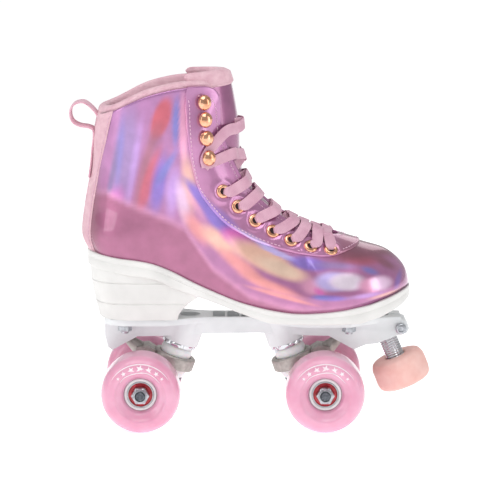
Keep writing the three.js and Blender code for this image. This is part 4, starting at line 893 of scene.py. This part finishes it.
print("collar band:", len(collar.data.polygons), "faces")

# %% [markdown]
# ## Tongue
# The tongue is a long padded flap under the laces. Its front is vinyl, its back and its rolled top are
# textile. Its shape is a table along its middle line: how far forward, how high, half the width, how far the
# edges fall back, and the way it looks.

# %% Tongue surface
TONGUE = np.array([
    [97, 150.4, 9, 1.5, 75], [84, 154.6, 17, 4, 68], [66, 161.2, 24, 8, 62], [49, 169.5, 26, 12, 56],
    [33, 180.5, 27, 14, 48], [18, 194.5, 27, 15.5, 40], [8.5, 210, 27, 17, 25], [6, 226, 25, 17, 8],
    [5.2, 248, 24, 18, 6], [2.2, 268, 23, 19, 9], [-1, 284, 24, 24, 8], [-5, 296.5, 25, 31, 4]], float)


def tongue_point(t, s, depth):
    """A point t stations along and s across (-1 to 1): straight back from the front face by `depth`, and
    falling back towards the edges as the 2.2th power of s."""
    t, s, depth = np.broadcast_arrays(*(np.asarray(v, float) for v in (t, s, depth)))
    row = glide(TONGUE, t.ravel()).reshape(t.shape + (5,))
    x, z, half, fall, look = np.moveaxis(row, -1, 0)
    look = np.radians(look)
    back = depth + fall * np.abs(s) ** 2.2
    return np.stack([x - np.cos(look) * back, half * s + lean(x), z - np.sin(look) * back], -1)


def tongue_body(start, end, rows, front, thick, trim=1.0):
    """A closed pad over part of the tongue: a superellipse section, thinning to its ends."""
    t = np.linspace(start, end, rows)[:, None]
    angle = np.linspace(0, 2 * math.pi, 72, endpoint=False)[None, :]
    fade = np.clip(np.minimum(t - start, end - t) / 0.22, 0, 1) ** 0.5
    s = np.sign(np.cos(angle)) * np.abs(np.cos(angle)) ** 0.6 * (0.9 + 0.1 * fade) * trim
    swell = np.sign(np.sin(angle)) * np.abs(np.sin(angle)) ** 0.7 * (0.15 + 0.85 * fade)
    d = front + thick / 2 * (1 - swell)
    points = tongue_point(t, s, d)
    return points, tube_faces(*points.shape[:2])


points, faces = tongue_body(0.0, 10.35, 150, 0.0, 3.4)
front = piece("tongue_front", points, faces, vinyl.material, "boot", ["tongue"])
tint(front, 0.75, "deep")
points, faces = tongue_body(5.2, 10.3, 80, 3.6, 5.0, 0.94)
pad = piece("tongue_padding", points, faces, textile.material, "boot")
points, faces = tongue_body(9.9, 11.0, 60, -2.2, 12.5, 1.02)
roll_top = piece("tongue_rolled_top", points, faces, textile.material, "boot")
print("tongue pieces:", [len(o.data.polygons) for o in (front, pad, roll_top)])

# %% [markdown]
# ## Lace
# One flat lace crosses the throat from side to side. At the toe it is a straight bar. From there each end
# comes out from under one facing, crosses the tongue, lies over the other facing and goes down through the
# next eyelet. Above the last eyelets it crosses once more, goes round the lowest hooks and tucks away.
# One strand of each pair lies on top of the other where they cross.

# %% Strands of lace
LACE = 9.5
LACE_THICK = 1.3


def tongue_front_at(point, look):
    """The distance from a point to the tongue's front along `look`, with the tongue's size there."""
    t = np.linspace(0, len(TONGUE) - 1, 200)
    row = glide(TONGUE, t)
    away = row[:, :2] - point[[0, 2]]
    aside = np.abs(away[:, 0] * -look[2] + away[:, 1] * look[0])
    k = int(aside.argmin())
    return away[k, 0] * look[0] + away[k, 1] * look[2], row[k, 2], row[k, 3]


def one(value):
    """A single point or direction of the upper as three numbers."""
    return np.asarray(value, float).reshape(3)


def stop(place, side, out):
    """A place on a facing: side -1 is the outer facing, 1 the inner."""
    turn = place[0] if side < 0 else -place[0]
    return one(on_upper(turn, place[1], out)), one(facing(np.array(turn), np.array(place[1])))


def over_tongue(start, end, lift, under_at):
    """Points between two stops, just clear of the tongue's front, and low where the lace goes under."""
    look = start[1] + end[1]
    look[1] = 0
    look /= np.linalg.norm(look)
    between = []
    for t in (0.22, 0.4, 0.6, 0.78):
        point = start[0] * (1 - t) + end[0] * t
        out, half, fall = tongue_front_at(point, look)
        out -= fall * abs((point[1] - lean(point[0])) / half) ** 2.2
        aim = look + (0, point[1] / 45, 0)
        raise_by = max(out, 0) * 0.8 + 0.6 if t == under_at else max(out, 0) + 1.6 + lift
        between.append((point + look * raise_by, aim / np.linalg.norm(aim)))
    return between


def strand(from_place, from_side, to_place, to_side, lift):
    """Path and looks of one strand: into an eyelet, over the facing, across the tongue, under the other."""
    around, up = from_place
    hole = [stop((around - 0.02, up + 0.004), from_side, -0.4),
            stop((around - 0.1, up + 0.02), from_side, 2.3),
            stop((around - 0.26, up + 0.062), from_side, 3.3)]
    near = stop((around - 0.5, 0.985), from_side, 3.4 + lift)
    far = stop((to_place[0] + 0.35, 0.995), to_side, -2.6)
    tuck = stop((to_place[0] + 0.2, 0.93), to_side, -3.4)
    stations = hole + [near] + over_tongue(near, far, lift, 0.78) + [far, tuck]
    steps = np.linspace(0, len(stations) - 1, 76)
    return glide([p for p, _ in stations], steps), glide([n for _, n in stations], steps)


def narrow(count):
    """The lace's width along a strand: gathered where it goes into an eyelet."""
    t = np.linspace(0, 1, count)
    return LACE * (1 - 0.6 * np.exp(-((t / 0.11) ** 2)))


strands = []
for k in range(len(EYELETS) - 1):
    for side, lift in ((-1, 1.5), (1, 0.0)):
        path, looks = strand(EYELETS[k + 1], side, EYELETS[k], -side, lift)
        strands.append(tape(path, looks, narrow(len(path)), LACE_THICK))
print("crossing strands:", len(strands))

# %% The bar at the toe, and the top of the lacing
BAR = [(2.72, 0.775, -0.4), (2.68, 0.8, 2.2), (2.58, 0.855, 3.2), (2.42, 0.93, 3.3), (2.33, 0.985, 3.1)]
first, last = ([stop(place[:2], side, place[2]) for place in BAR] for side in (-1, 1))
over_the_top = (first[-1][0] + last[-1][0]) / 2 + (1, 0, 2.4), np.array([0.45, 0, 0.9])
bar = first + [over_the_top] + last[::-1]
steps = np.linspace(0, len(bar) - 1, 90)
from_end = len(bar) - 1 - steps
width = LACE * (1 - 0.5 * np.exp(-((steps / 0.8) ** 2)) - 0.5 * np.exp(-((from_end / 0.8) ** 2)))
bar_path, bar_looks = (glide([place[k] for place in bar], steps) for k in (0, 1))
strands.append(tape(bar_path, bar_looks, width, LACE_THICK))


def round_hook(side, lift):
    """From under the opposite top eyelet to the hook, round its neck, and back across to tuck away."""
    hook, top = HOOKS[0], EYELETS[-1]
    start = [stop((top[0], 0.93), -side, -3.4), stop((top[0], 0.995), -side, -2.6)]
    low_over, high_over = stop((7.5, 0.985), side, 3.4 + lift), stop((7.95, 0.99), side, 3.6 + lift)
    low_neck, high_neck = stop((hook[0] - 0.12, hook[1] - 0.01), side, 3.0), stop(
        (hook[0] + 0.14, hook[1] - 0.01), side, 3.0)
    back = stop((hook[0] + 0.01, hook[1] - 0.055), side, 3.0)
    end = [stop((8.3, 0.995), -side, -2.6), stop((8.3, 0.94), -side, -3.6)]
    paths = []
    for a, b, over in ((start, [low_neck, back], low_over), (end, [high_neck, back], high_over)):
        stations = a + over_tongue(a[1], over, lift, 0.22) + [over] + b
        t = np.linspace(0, len(stations) - 1, 84)
        gather = LACE * (1 - 0.35 * np.exp(-(((len(stations) - 1 - t) / 1.1) ** 2)))
        paths.append((glide([p for p, _ in stations], t), glide([n for _, n in stations], t), gather))
    return paths


for side, lift in ((-1, 1.5), (1, 0.0)):
    for path, looks, gather in round_hook(side, lift):
        strands.append(tape(path, looks, gather, LACE_THICK))
points, faces = together([(p, f) for p, f, _ in strands])
across = np.vstack([a.reshape(-1, 2) for _, _, a in strands])
piece("flat_lace", points, faces, lace_weave.material, "boot", ["lace"], across, 70)
print("lace:", len(strands), "strands,", round(sum(float(a[-1, 0, 1]) for _, _, a in strands)), "mm in all")

# %% [markdown]
# ## Eyelets and hooks
# An eyelet is a turned ring with a rolled flange, pressed into the facing, round a dark disc that is a
# painted shadow for the shade in its hole. A speed hook is a domed plate on a short neck. Both are set square
# to the vinyl, wherever they are round the throat.

# %% Eyelets
RING = rounded([[2.7, -0.9], [2.7, 1.0], [3.5, 1.75], [4.7, 1.6], [5.7, 0.7], [5.9, -0.5], [4.4, -0.6]], 0.5)
# The dark disc inside each ring is a painted shadow for the shade in the hole.
HOLE_SHADOW = [[0, 0.15], [3.0, 0.15], [3.0, -0.8], [0, -0.8]]
rings, hole_shadows = [], []
for side in (-1, 1):
    for place in EYELETS:
        centre, axis = stop(place, side, FACING - 0.15)
        rings.append(turned(RING, centre, axis, 32))
        hole_shadows.append(turned(HOLE_SHADOW, centre, axis, 20))
points, faces = together(rings)
piece("eyelets", points, faces, rose_gold.material, "boot")
points, faces = together(hole_shadows)
piece("eyelet_holes", points, faces, shadow.material, "boot")
print("eyelets:", len(rings))

# %% Hooks
DOME = rounded([[0, 7.6], [2.8, 7.3], [4.9, 6.0], [5.9, 3.9], [5.4, 2.9], [4.4, 3.0], [2.2, 3.4], [2.0, 1.2],
                [4.2, 0.9], [4.6, 0.2], [4.4, -0.4], [0, -0.4]], 0.5, closed=False)
OVAL = 0.12
domes = []
for side in (-1, 1):
    for place in HOOKS:
        centre, axis = stop(place, side, FACING)
        points, faces = turned(DOME, centre, axis, 32, closed=False)
        tall = np.array([0, 0, 1.0]) - axis * axis[2]
        tall /= np.linalg.norm(tall)
        domes.append((points + ((points - centre) @ tall)[..., None] * tall * OVAL, faces))
points, faces = together(domes)
piece("speed_hooks", points, faces, rose_gold.material, "boot", sharp=60)
print("hooks:", len(domes))

# %% [markdown]
# ## Insole, sole and heel
# The insole is a thin textile board inside the boot. The sole is moulded in one piece: a rounded section that
# changes from station to station, with a fine parting line round its side. The heel block under it is stacked
# from a few outlines, with two narrow grooves, and ends under the sole.

# %% Sole and insole
PARTING = 0.62
RIM_LIP = 2.0


def layer(inset, narrowest, low, high, corner, groove=0.0):
    """A closed body on the sole's outline, drawn in by `inset`; low and high are heights by station."""
    spread = SOLE[SOLE[:, 1] > inset + narrowest]
    t = np.linspace(0, len(spread) - 1, 150)
    x, half, top, bottom = glide(spread, t).T
    width, z0, z1 = half - inset, low(top, bottom), high(top, bottom)
    angle = np.radians(np.array([-84, -60, -30, -6]))
    arc = np.stack([np.cos(angle), np.sin(angle)], -1) * corner
    # each column of the section: share of the half width, step outwards, share of the height, step up
    side = [(1, c - corner, 0, s + corner) for c, s in arc]
    if groove:
        notch = ((0, -0.7), (groove, -0.25), (groove, 0.25), (0, 0.7))
        side += [(1, -deep, PARTING, step) for deep, step in notch]
    side += [(1, c - corner, 1, -s - corner) for c, s in arc[::-1]]
    floor = [(k, 0, 0, 0) for k in (-0.8, -0.3, 0.3, 0.8)]
    roof = [(k, 0, 1, 0) for k in (0.8, 0.3, -0.3, -0.8)]
    other = [(-share, -step, rise, up) for share, step, rise, up in side[::-1]]
    share, step, rise, lift = np.array(floor + side + roof + other, float).T
    y = width[:, None] * share + step + lean(x)[:, None]
    z = z0[:, None] * (1 - rise) + z1[:, None] * rise + lift
    points = np.stack([np.broadcast_to(x[:, None], y.shape), y, z], -1)
    return points, tube_faces(*points.shape[:2])


points, faces = layer(0, 3, lambda top, bottom: bottom, lambda top, bottom: top + RIM_LIP, 1.3, groove=0.35)
sole = piece("sole", points, faces, white.material, "boot", ["outsole"], sharp=40)
points, faces = layer(9.5, 16, lambda top, bottom: top + 0.4, lambda top, bottom: top + 4.2, 0.9)
board = piece("insole", points, faces, insole.material, "boot", ["footbed"], sharp=40)
print("sole:", len(sole.data.polygons), "faces; insole:", len(board.data.polygons))

# %% Heel block
HEEL_ROUND = 0.95
HEEL_LEVELS = np.array([  # height, back end, front end, half width
    [89.3, -112, -46, 28.6], [94, -113, -44.6, 29], [99, -114.4, -41, 29.4], [102.2, -115, -37.4, 29.6],
    [102.8, -114.5, -36.8, 29.0], [103.2, -114.5, -36.4, 29.0], [103.8, -115.4, -35.6, 29.7],
    [110, -116.8, -27, 30.2], [118, -118, -14, 30.8], [120.2, -118.3, -11, 31], [120.8, -117.8, -10.2, 30.4],
    [121.2, -117.8, -9.8, 30.4], [121.8, -118.5, -9, 31.1], [128, -119, -5, 31.4], [136, -119.5, 0, 31.6]])
steps = np.unique(np.concatenate([np.linspace(0, len(HEEL_LEVELS) - 1, 57), np.arange(len(HEEL_LEVELS))]))
levels = np.stack([np.interp(steps, np.arange(len(HEEL_LEVELS)), c) for c in HEEL_LEVELS.T])
z, back, front_end, half = levels[..., None]
centre = back + HEEL_ROUND * half
turn = np.radians(np.linspace(-90, 90, 41))
share = np.linspace(0, 1, 26)[None, 1:]
side_x = np.hstack([centre + (front_end - 3 - centre) * share, front_end - 0.9, front_end])
side_y = np.hstack([half * (1 - 0.03 * share), half * 0.94, half * 0.88])
x = np.hstack([centre - HEEL_ROUND * half * np.cos(turn), side_x, side_x[:, ::-1]])
y = np.hstack([half * np.sin(turn), side_y, -side_y[:, ::-1]])
points = np.stack([x, y, np.broadcast_to(z, x.shape)], -1)
under = np.interp(points[..., 0], SOLE[:, 0], SOLE[:, 3]) + 0.6
hidden = points[..., 2] > under
points[..., 2] = np.minimum(points[..., 2], under)
points[..., 1] = np.where(hidden, points[..., 1] * 0.985, points[..., 1])
count, cols = points.shape[:2]
ring = np.roll(np.arange(cols), -20)
half_way = cols // 2
rungs = np.stack([ring[: half_way - 1], ring[1:half_way],
                  ring[::-1][1:half_way], ring[::-1][: half_way - 1]], -1)
faces = np.concatenate([grid_faces(count, cols, False, True), rungs, rungs[:, ::-1] + (count - 1) * cols])
heel = piece("heel", points, faces, white.material, "boot", ["heel_block"], sharp=40)
print("heel:", len(heel.data.polygons), "faces")

# %% [markdown]
# ## Plate, trucks and fixings
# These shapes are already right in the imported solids, apart from their razor edges. A copy of each is
# merged, its flat facets joined, and its edges rounded with a Bevel, which is what a mould or a casting does.


# %% Rounded copies of solids
def softened(node, finish, width, segments=3, angle=32):
    """A merged copy of a solid with its sharp edges rounded by `width` millimetres, standing for it."""
    source = frame["nodes"][node]
    work = bmesh.new()
    work.from_mesh(source.data)
    bmesh.ops.remove_doubles(work, verts=work.verts, dist=2e-6)
    bmesh.ops.dissolve_limit(work, angle_limit=math.radians(0.6), verts=work.verts, edges=work.edges)
    mesh = bpy.data.meshes.new(node + "_finished")
    work.to_mesh(mesh)
    work.free()
    mesh.shade_smooth()
    obj = bpy.data.objects.new(node + "_finished", mesh)
    bpy.context.scene.collection.objects.link(obj)
    mesh.materials.append(finish)
    bevel = obj.modifiers.new("rounded_edges", "BEVEL")
    bevel.width, bevel.segments = width * MM, segments
    bevel.limit_method, bevel.angle_limit = "ANGLE", math.radians(angle)
    bevel.harden_normals = True
    body = source.parent.name.replace("body:", "")
    return dress(obj, body, [node])


# %% Plate, trucks and bolts
softened("base_plate", nylon.material, 1.1)
softened("toe_stop_pinch_bolt", steel.material, 0.25, 2)
for place in ("front_outer", "front_inner", "rear_outer", "rear_inner"):
    softened(f"bolt_{place}", steel.material, 0.3, 2)
for end in ("rear", "front"):
    softened(f"hanger_{end}", cast.material, 0.9, 3, 38)
    softened(f"kingpin_{end}", dark_steel.material, 0.3, 2, 50)
    softened(f"kingpin_nut_{end}", dark_steel.material, 0.4, 2)
    softened(f"upper_washer_{end}", chrome.material, 0.3, 2, 30)
    softened(f"lower_washer_{end}", dark_steel.material, 0.3, 2, 50)
    softened(f"pivot_cup_{end}", soft_white.material, 0.3, 2, 50)

# %% [markdown]
# ## Cushions
# Each truck squeezes two urethane cushions between its ring and the plate. They bulge in the middle and
# flex when the truck steers; here each is one fixed turned piece that rides on no body.


# %% Cushions
KINGPIN_LEAN = 20
CUSHION_HALF = 4.8


def kingpin_axis(end):
    """The kingpin's direction, from its nut up: it leans 20 degrees towards the middle of the skate."""
    lean_by = math.radians(KINGPIN_LEAN) * (1 if end == "rear" else -1)
    return np.array([math.sin(lean_by), 0, math.cos(lean_by)])


for end in ("rear", "front"):
    for place, up_is_boot in (("upper", 1), ("lower", -1)):
        centre, axis = from_frame(middle(f"{place}_cushion_{end}")), kingpin_axis(end)
        profile = rounded([[5.2, -CUSHION_HALF], [11.9, -CUSHION_HALF], [13.0, -3.2], [13.25, 0], [12.7, 3.0],
                           [11.4, CUSHION_HALF], [5.2, CUSHION_HALF]], 0.9)
        points, faces = turned(profile, centre, axis * up_is_boot, 64)
        cushion = piece(f"cushion_{place}_{end}", points, faces, soft_white.material, None,
                        [f"{place}_cushion_{end}"])
        reach = axis * CUSHION_HALF * up_is_boot
        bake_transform(cushion)
print("cushion centre:", centre.round(1).tolist())

# %% [markdown]
# ## Wheels
# A wheel is a urethane tyre cast round a white core. Its side has a broad rounded shoulder and a shallow
# dish that falls to the core. In the core sit two ball bearings with red shields, on an 8 mm axle with a
# locking nut. The tyre's tread is slightly worn, which shows as fine rings. Its side carries a plain printed
# ornament: a row of stars between two curved lines.

# %% Tyres
HALF = 19.0
RADIUS = 32.5
ROUND = 10.0
shoulder = np.radians(np.linspace(0, 90, 12))
outer_half = np.vstack([
    np.column_stack([RADIUS - ROUND * (1 - np.cos(shoulder)), HALF - ROUND * (1 - np.sin(shoulder))]),
    [[21.6, HALF - 0.05], [20.9, HALF - 0.5], [20.0, HALF - 1.4], [18.6, HALF - 2.3], [17.0, HALF - 3.0],
     [15.6, HALF - 3.8], [14.6, HALF - 5.0], [13.6, HALF - 6.9]]])
TYRE = np.vstack([outer_half, (outer_half * (1, -1))[::-1]])
INK_THICK = 0.12


def tread(radius, angle, height):
    """Fine rings of a twentieth of a millimetre on the tread, none on the sides."""
    on_tread = np.clip((radius - 31.9) / 0.4, 0, 1)
    return radius + 0.05 * on_tread * np.sin(height * 7)


def star(centre, size, turn):
    """A five-pointed star: ten points, alternately far and near, as a thin plate."""
    a = turn + np.arange(10) * math.pi / 5
    r = np.where(np.arange(10) % 2 == 0, size, size * 0.42)
    flat = np.column_stack([centre[0] + r * np.cos(a), centre[1] + r * np.sin(a)])
    rows = [np.column_stack([flat[:, 0], np.full(10, k), flat[:, 1]]) for k in (-INK_THICK, 0)]
    heart = [np.tile([[centre[0], k, centre[1]]], (10, 1)) for k in (-INK_THICK, 0)]
    return np.array([heart[0], rows[0], rows[1], heart[1]]), grid_faces(4, 10, False, True)


def arc_band(r0, r1, start, end, swell=0.0):
    """A curved band between two radii, pointed at both ends, thicker in the middle."""
    t = np.linspace(0, 1, 60)
    a = np.radians(start + (end - start) * t)
    fat = np.sin(np.pi * t) ** 0.5
    mid, half = (r0 + r1) / 2 + swell * np.sin(t * 12), (r1 - r0) / 2 * (0.05 + 0.95 * fat)
    corners = [(mid - half, -INK_THICK), (mid + half, -INK_THICK), (mid + half, 0), (mid - half, 0)]
    points = np.stack([np.column_stack([r * np.cos(a), np.full(60, level), r * np.sin(a)])
                       for r, level in corners], 1)
    return points, np.concatenate([grid_faces(60, 4, False, True), [[3, 2, 1, 0]], [[236, 237, 238, 239]]])


STAR_ARC = 23.4
STARS = [(140, 1.6), (125, 2.3), (108, 2.9), (90, 3.4), (72, 2.9), (55, 2.3), (40, 1.6)]  # degrees, size
INK_PROUD = 0.16
for end in ("rear", "front"):
    for where, side in (("outer", -1), ("inner", 1)):
        hub = from_frame(middle(f"core_{end}_{where}"))
        body = f"wheel_{end}_{where}"
        points, faces = turned(TYRE, hub, (0, 1, 0), 160, wave=tread)
        piece(f"tyre_{end}_{where}_cast", points, faces, urethane.material, body,
              [f"tyre_{end}_{where}"], sharp=70)
        marks = [arc_band(26.6, 27.4, 150, 30), arc_band(19.3, 20.3, 146, 34, swell=0.35)]
        for k, (a, size) in enumerate(STARS):
            a = math.radians(a)
            marks.append(star((STAR_ARC * math.cos(a), STAR_ARC * math.sin(a)), size, a + 0.3 * (-1) ** k))
        points, faces = together(marks)
        height = np.interp(-np.hypot(points[:, 0], points[:, 2]), -outer_half[:, 0], outer_half[:, 1])
        points[:, 1] = side * (height + points[:, 1] + INK_PROUD)
        piece(f"print_{end}_{where}", points + hub, faces, print_white.material, body)
print("tyre profile:", len(TYRE), "points")

# %% Cores, bearings, nuts and axles
CORE = rounded([[11.2, -12], [13.3, -12], [13.3, 12], [11.2, 12], [11.2, 4.7], [9.4, 4.7], [9.4, -4.7],
                [11.2, -4.7]], 0.35)
RACE_OUT = rounded([[10.0, 0], [10.95, 0], [10.95, -7], [10.0, -7]], 0.2)
RACE_IN = rounded([[4.1, 0], [6.3, 0], [6.3, -7], [4.1, -7]], 0.25)
SHIELD = rounded([[6.3, -1.1], [7.0, -0.8], [9.3, -0.8], [9.6, -0.3], [10.0, -0.3], [10.0, -6],
                  [6.3, -6]], 0.2)
for end in ("rear", "front"):
    for where, side in (("outer", -1), ("inner", 1)):
        hub, body = from_frame(middle(f"core_{end}_{where}")), f"wheel_{end}_{where}"
        points, faces = turned(CORE, hub, (0, 1, 0), 96)
        piece(f"core_{end}_{where}_moulded", points, faces, core_white.material, body,
              [f"core_{end}_{where}"])
        for label, out in (("out", side), ("in", -side)):
            face = hub + (0, out * 12, 0)
            points, faces = together([turned(r, face, (0, out, 0), 64) for r in (RACE_OUT, RACE_IN)])
            piece(f"races_{label}_{end}_{where}", points, faces, steel.material, body,
                  [f"bearing_{label}_{end}_{where}"])
            points, faces = turned(SHIELD, face, (0, out, 0), 64)
            piece(f"shield_{label}_{end}_{where}", points, faces, red.material, body)
print("bearings done")

NUT_HEIGHT = 6.5
ACROSS_FLATS = 13.0


def hexagonal(radius, angle, height):
    """Turns a round profile into a six-sided one where it is wide, with rounded tops to the corners."""
    flat = math.pi / 3
    fold = (angle + flat / 2) % flat - flat / 2
    side = ACROSS_FLATS / 2 / np.cos(fold)
    return np.where(radius > 5.2, np.minimum(radius, side), radius)


NUT = [[4.15, 0], [7.6, 0], [7.6, 4.9], [6.3, 5.5], [5.6, 5.7], [5.3, 6.5], [4.6, 6.7], [4.15, 6.4]]
for end in ("rear", "front"):
    for where, side in (("outer", -1), ("inner", 1)):
        seat = from_frame(middle(f"axle_nut_{end}_{where}")) - (0, side * NUT_HEIGHT / 2, 0)
        points, faces = turned(NUT, seat, (0, side, 0), 72, wave=hexagonal)
        piece(f"axle_nut_{end}_{where}_finished", points, faces, steel.material, f"{end}_truck",
              [f"axle_nut_{end}_{where}"], sharp=25)


def screw_thread(pitch, depth):
    """A thread: the radius falls and rises once a pitch, and the pattern climbs as it goes round."""
    def wave(radius, angle, height):
        turn = (height / pitch - angle / (2 * math.pi)) % 1
        return radius - depth * np.abs(2 * turn - 1) * (radius > 1)
    return wave


for end in ("rear", "front"):
    low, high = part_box(f"axle_{end}")
    reach = (high.y - low.y) / 2 / MM
    y = np.linspace(-reach, reach, 520)
    profile = np.column_stack([np.where(np.abs(y) > reach - 0.7, 3.5, 3.98), y])
    profile = np.vstack([[0, -reach], profile, [0, reach]])
    points, faces = turned(profile, AXLES[end], (0, 1, 0), 24, False, screw_thread(1.0, 0.35))
    piece(f"axle_{end}_threaded", points, faces, dark_steel.material, f"{end}_truck",
          [f"axle_{end}"])
print("nuts and axles done")

# %% [markdown]
# ## Toe stop
# A rubber plug on a threaded stem, which is clamped in the plate's split front. Turning it moves it up or
# down by the thread's pitch. The rubber is a turned shape with soft corners and a shallow dent on its side.

# %% Rubber and stem
STOP_TILT = math.radians(22.7)
down_axis = np.array([math.sin(STOP_TILT), 0, -math.cos(STOP_TILT)])
stop_top = np.array([136.0, 0, 54.0])


def dents(radius, angle, height):
    """A slow unevenness of a tenth of a millimetre, and one shallow dent low on the side."""
    uneven = 0.08 * np.sin(3 * angle + height / 4) + 0.05 * np.sin(7 * angle - height / 3)
    dent = 0.9 * np.exp(-(((angle - 4.2) / 0.22) ** 2) - ((height - 8) / 3.5) ** 2)
    return radius + (uneven - dent) * (radius > 12)


r = 23.0
profile = rounded([[0, 17.3], [8.3, 17.3], [8.3, 0.3], [r - 6.5, 0.3], [r - 2.2, 1.6], [r - 0.1, 6.5],
                   [r, 12], [r, 19], [r - 1.2, 23.8], [r - 4.4, 25.95], [0, 25.95]],
                  1.6, closed=False, steps=5)
fine = np.linspace(0, len(profile) - 1, 190)
profile = np.column_stack([np.interp(fine, np.arange(len(profile)), profile[:, k]) for k in (0, 1)])
points, faces = turned(profile, stop_top, down_axis, 128, False, dents)
piece("stop_plug", points, faces, salmon.material, "toe_stop_pad", ["toe_stop_rubber"],
      sharp=60)
STEM_TOP, STEM_END = -29.9, 16.9
h = np.linspace(STEM_TOP, STEM_END, 330)
turned_stem = np.column_stack([np.where(h < STEM_TOP + 0.7, 7.2, 7.95), h])
profile = np.vstack([[0, STEM_TOP], turned_stem, [0, STEM_END]])
points, faces = turned(profile, stop_top, down_axis, 72, False, screw_thread(2.0, 0.75))
piece("stop_stem_threaded", points, faces, chrome.material, "toe_stop_screw",
      ["toe_stop_stem"])
print("toe stop done")

# %% [markdown]
# ## Studio
# A flat pale floor that reaches far back and glows faintly, and a white surround that the camera sees whiter
# than the light it gives. One large soft panel hangs above, two stand at the sides and one behind. A long
# lens looks slightly down from the side.

# %% Floor, light and camera
floor_finish = Finish("studio_floor", "f4f4f4", 0.9, Emission_Color=(1, 1, 1, 1), Emission_Strength=0.62)
floor_finish.paint(floor_finish.ramp(floor_finish.noise(0.3), (0.3, "f2f2f2"), (0.7, "f6f6f6")))
mesh = bpy.data.meshes.new("floor")
REACH = 60
corners = [(-REACH, -REACH, 0), (REACH, -REACH, 0), (REACH, REACH, 0), (-REACH, REACH, 0)]
mesh.from_pydata(corners, [], [(0, 1, 2, 3)])
mesh.materials.append(floor_finish.material)
floor = bpy.data.objects.new("floor", mesh)
bpy.context.scene.collection.objects.link(floor)

world = bpy.data.worlds.new("studio")
world.use_nodes = True
sky = world.node_tree.nodes["Background"]
sky.inputs["Color"].default_value = (1, 1, 1, 1)
seen = world.node_tree.nodes.new("ShaderNodeLightPath")
power = world.node_tree.nodes.new("ShaderNodeMapRange")
power.inputs["To Min"].default_value, power.inputs["To Max"].default_value = 0.46, 1.0
world.node_tree.links.new(seen.outputs["Is Camera Ray"], power.inputs["Value"])
world.node_tree.links.new(power.outputs["Result"], sky.inputs["Strength"])
bpy.context.scene.world = world


def panel(name, at, towards, size, power):
    """A soft rectangular white light, facing a point."""
    light = bpy.data.lights.new(name, "AREA")
    light.shape, light.energy = "RECTANGLE", power
    light.size, light.size_y = size
    obj = bpy.data.objects.new(name, light)
    obj.location = at
    obj.rotation_euler = (Vector(towards) - Vector(at)).to_track_quat("-Z", "Y").to_euler()
    bpy.context.scene.collection.objects.link(obj)


panel("top_light", (-0.2, -0.5, 1.3), (0, 0, 0.12), (1.2, 0.8), 7)
panel("left_light", (-1.2, -0.9, 0.6), (0, 0, 0.15), (0.5, 1.0), 3)
panel("right_light", (1.2, -0.7, 0.5), (0, 0, 0.12), (0.4, 0.9), 2)
panel("back_light", (0.2, 1.2, 0.9), (0, 0, 0.15), (1.0, 0.6), 2)

camera = bpy.data.objects.new("camera", bpy.data.cameras.new("camera"))
SENSOR, LENS = 36.0, 172.4
ELEVATION, DISTANCE = math.radians(10.8), 2.0
LOOK_AT = (14.1, 0, 143.4)
camera.data.sensor_width, camera.data.lens = SENSOR, LENS
look_at = Vector(placed(LOOK_AT).tolist())
camera.location = look_at + Vector((0, -math.cos(ELEVATION), math.sin(ELEVATION))) * DISTANCE
camera.rotation_euler = (look_at - camera.location).to_track_quat("-Z", "Y").to_euler()
bpy.context.scene.collection.objects.link(camera)
bpy.context.scene.camera = camera
bpy.context.scene.view_settings.view_transform = "Standard"
print("camera", [round(v, 3) for v in camera.location])
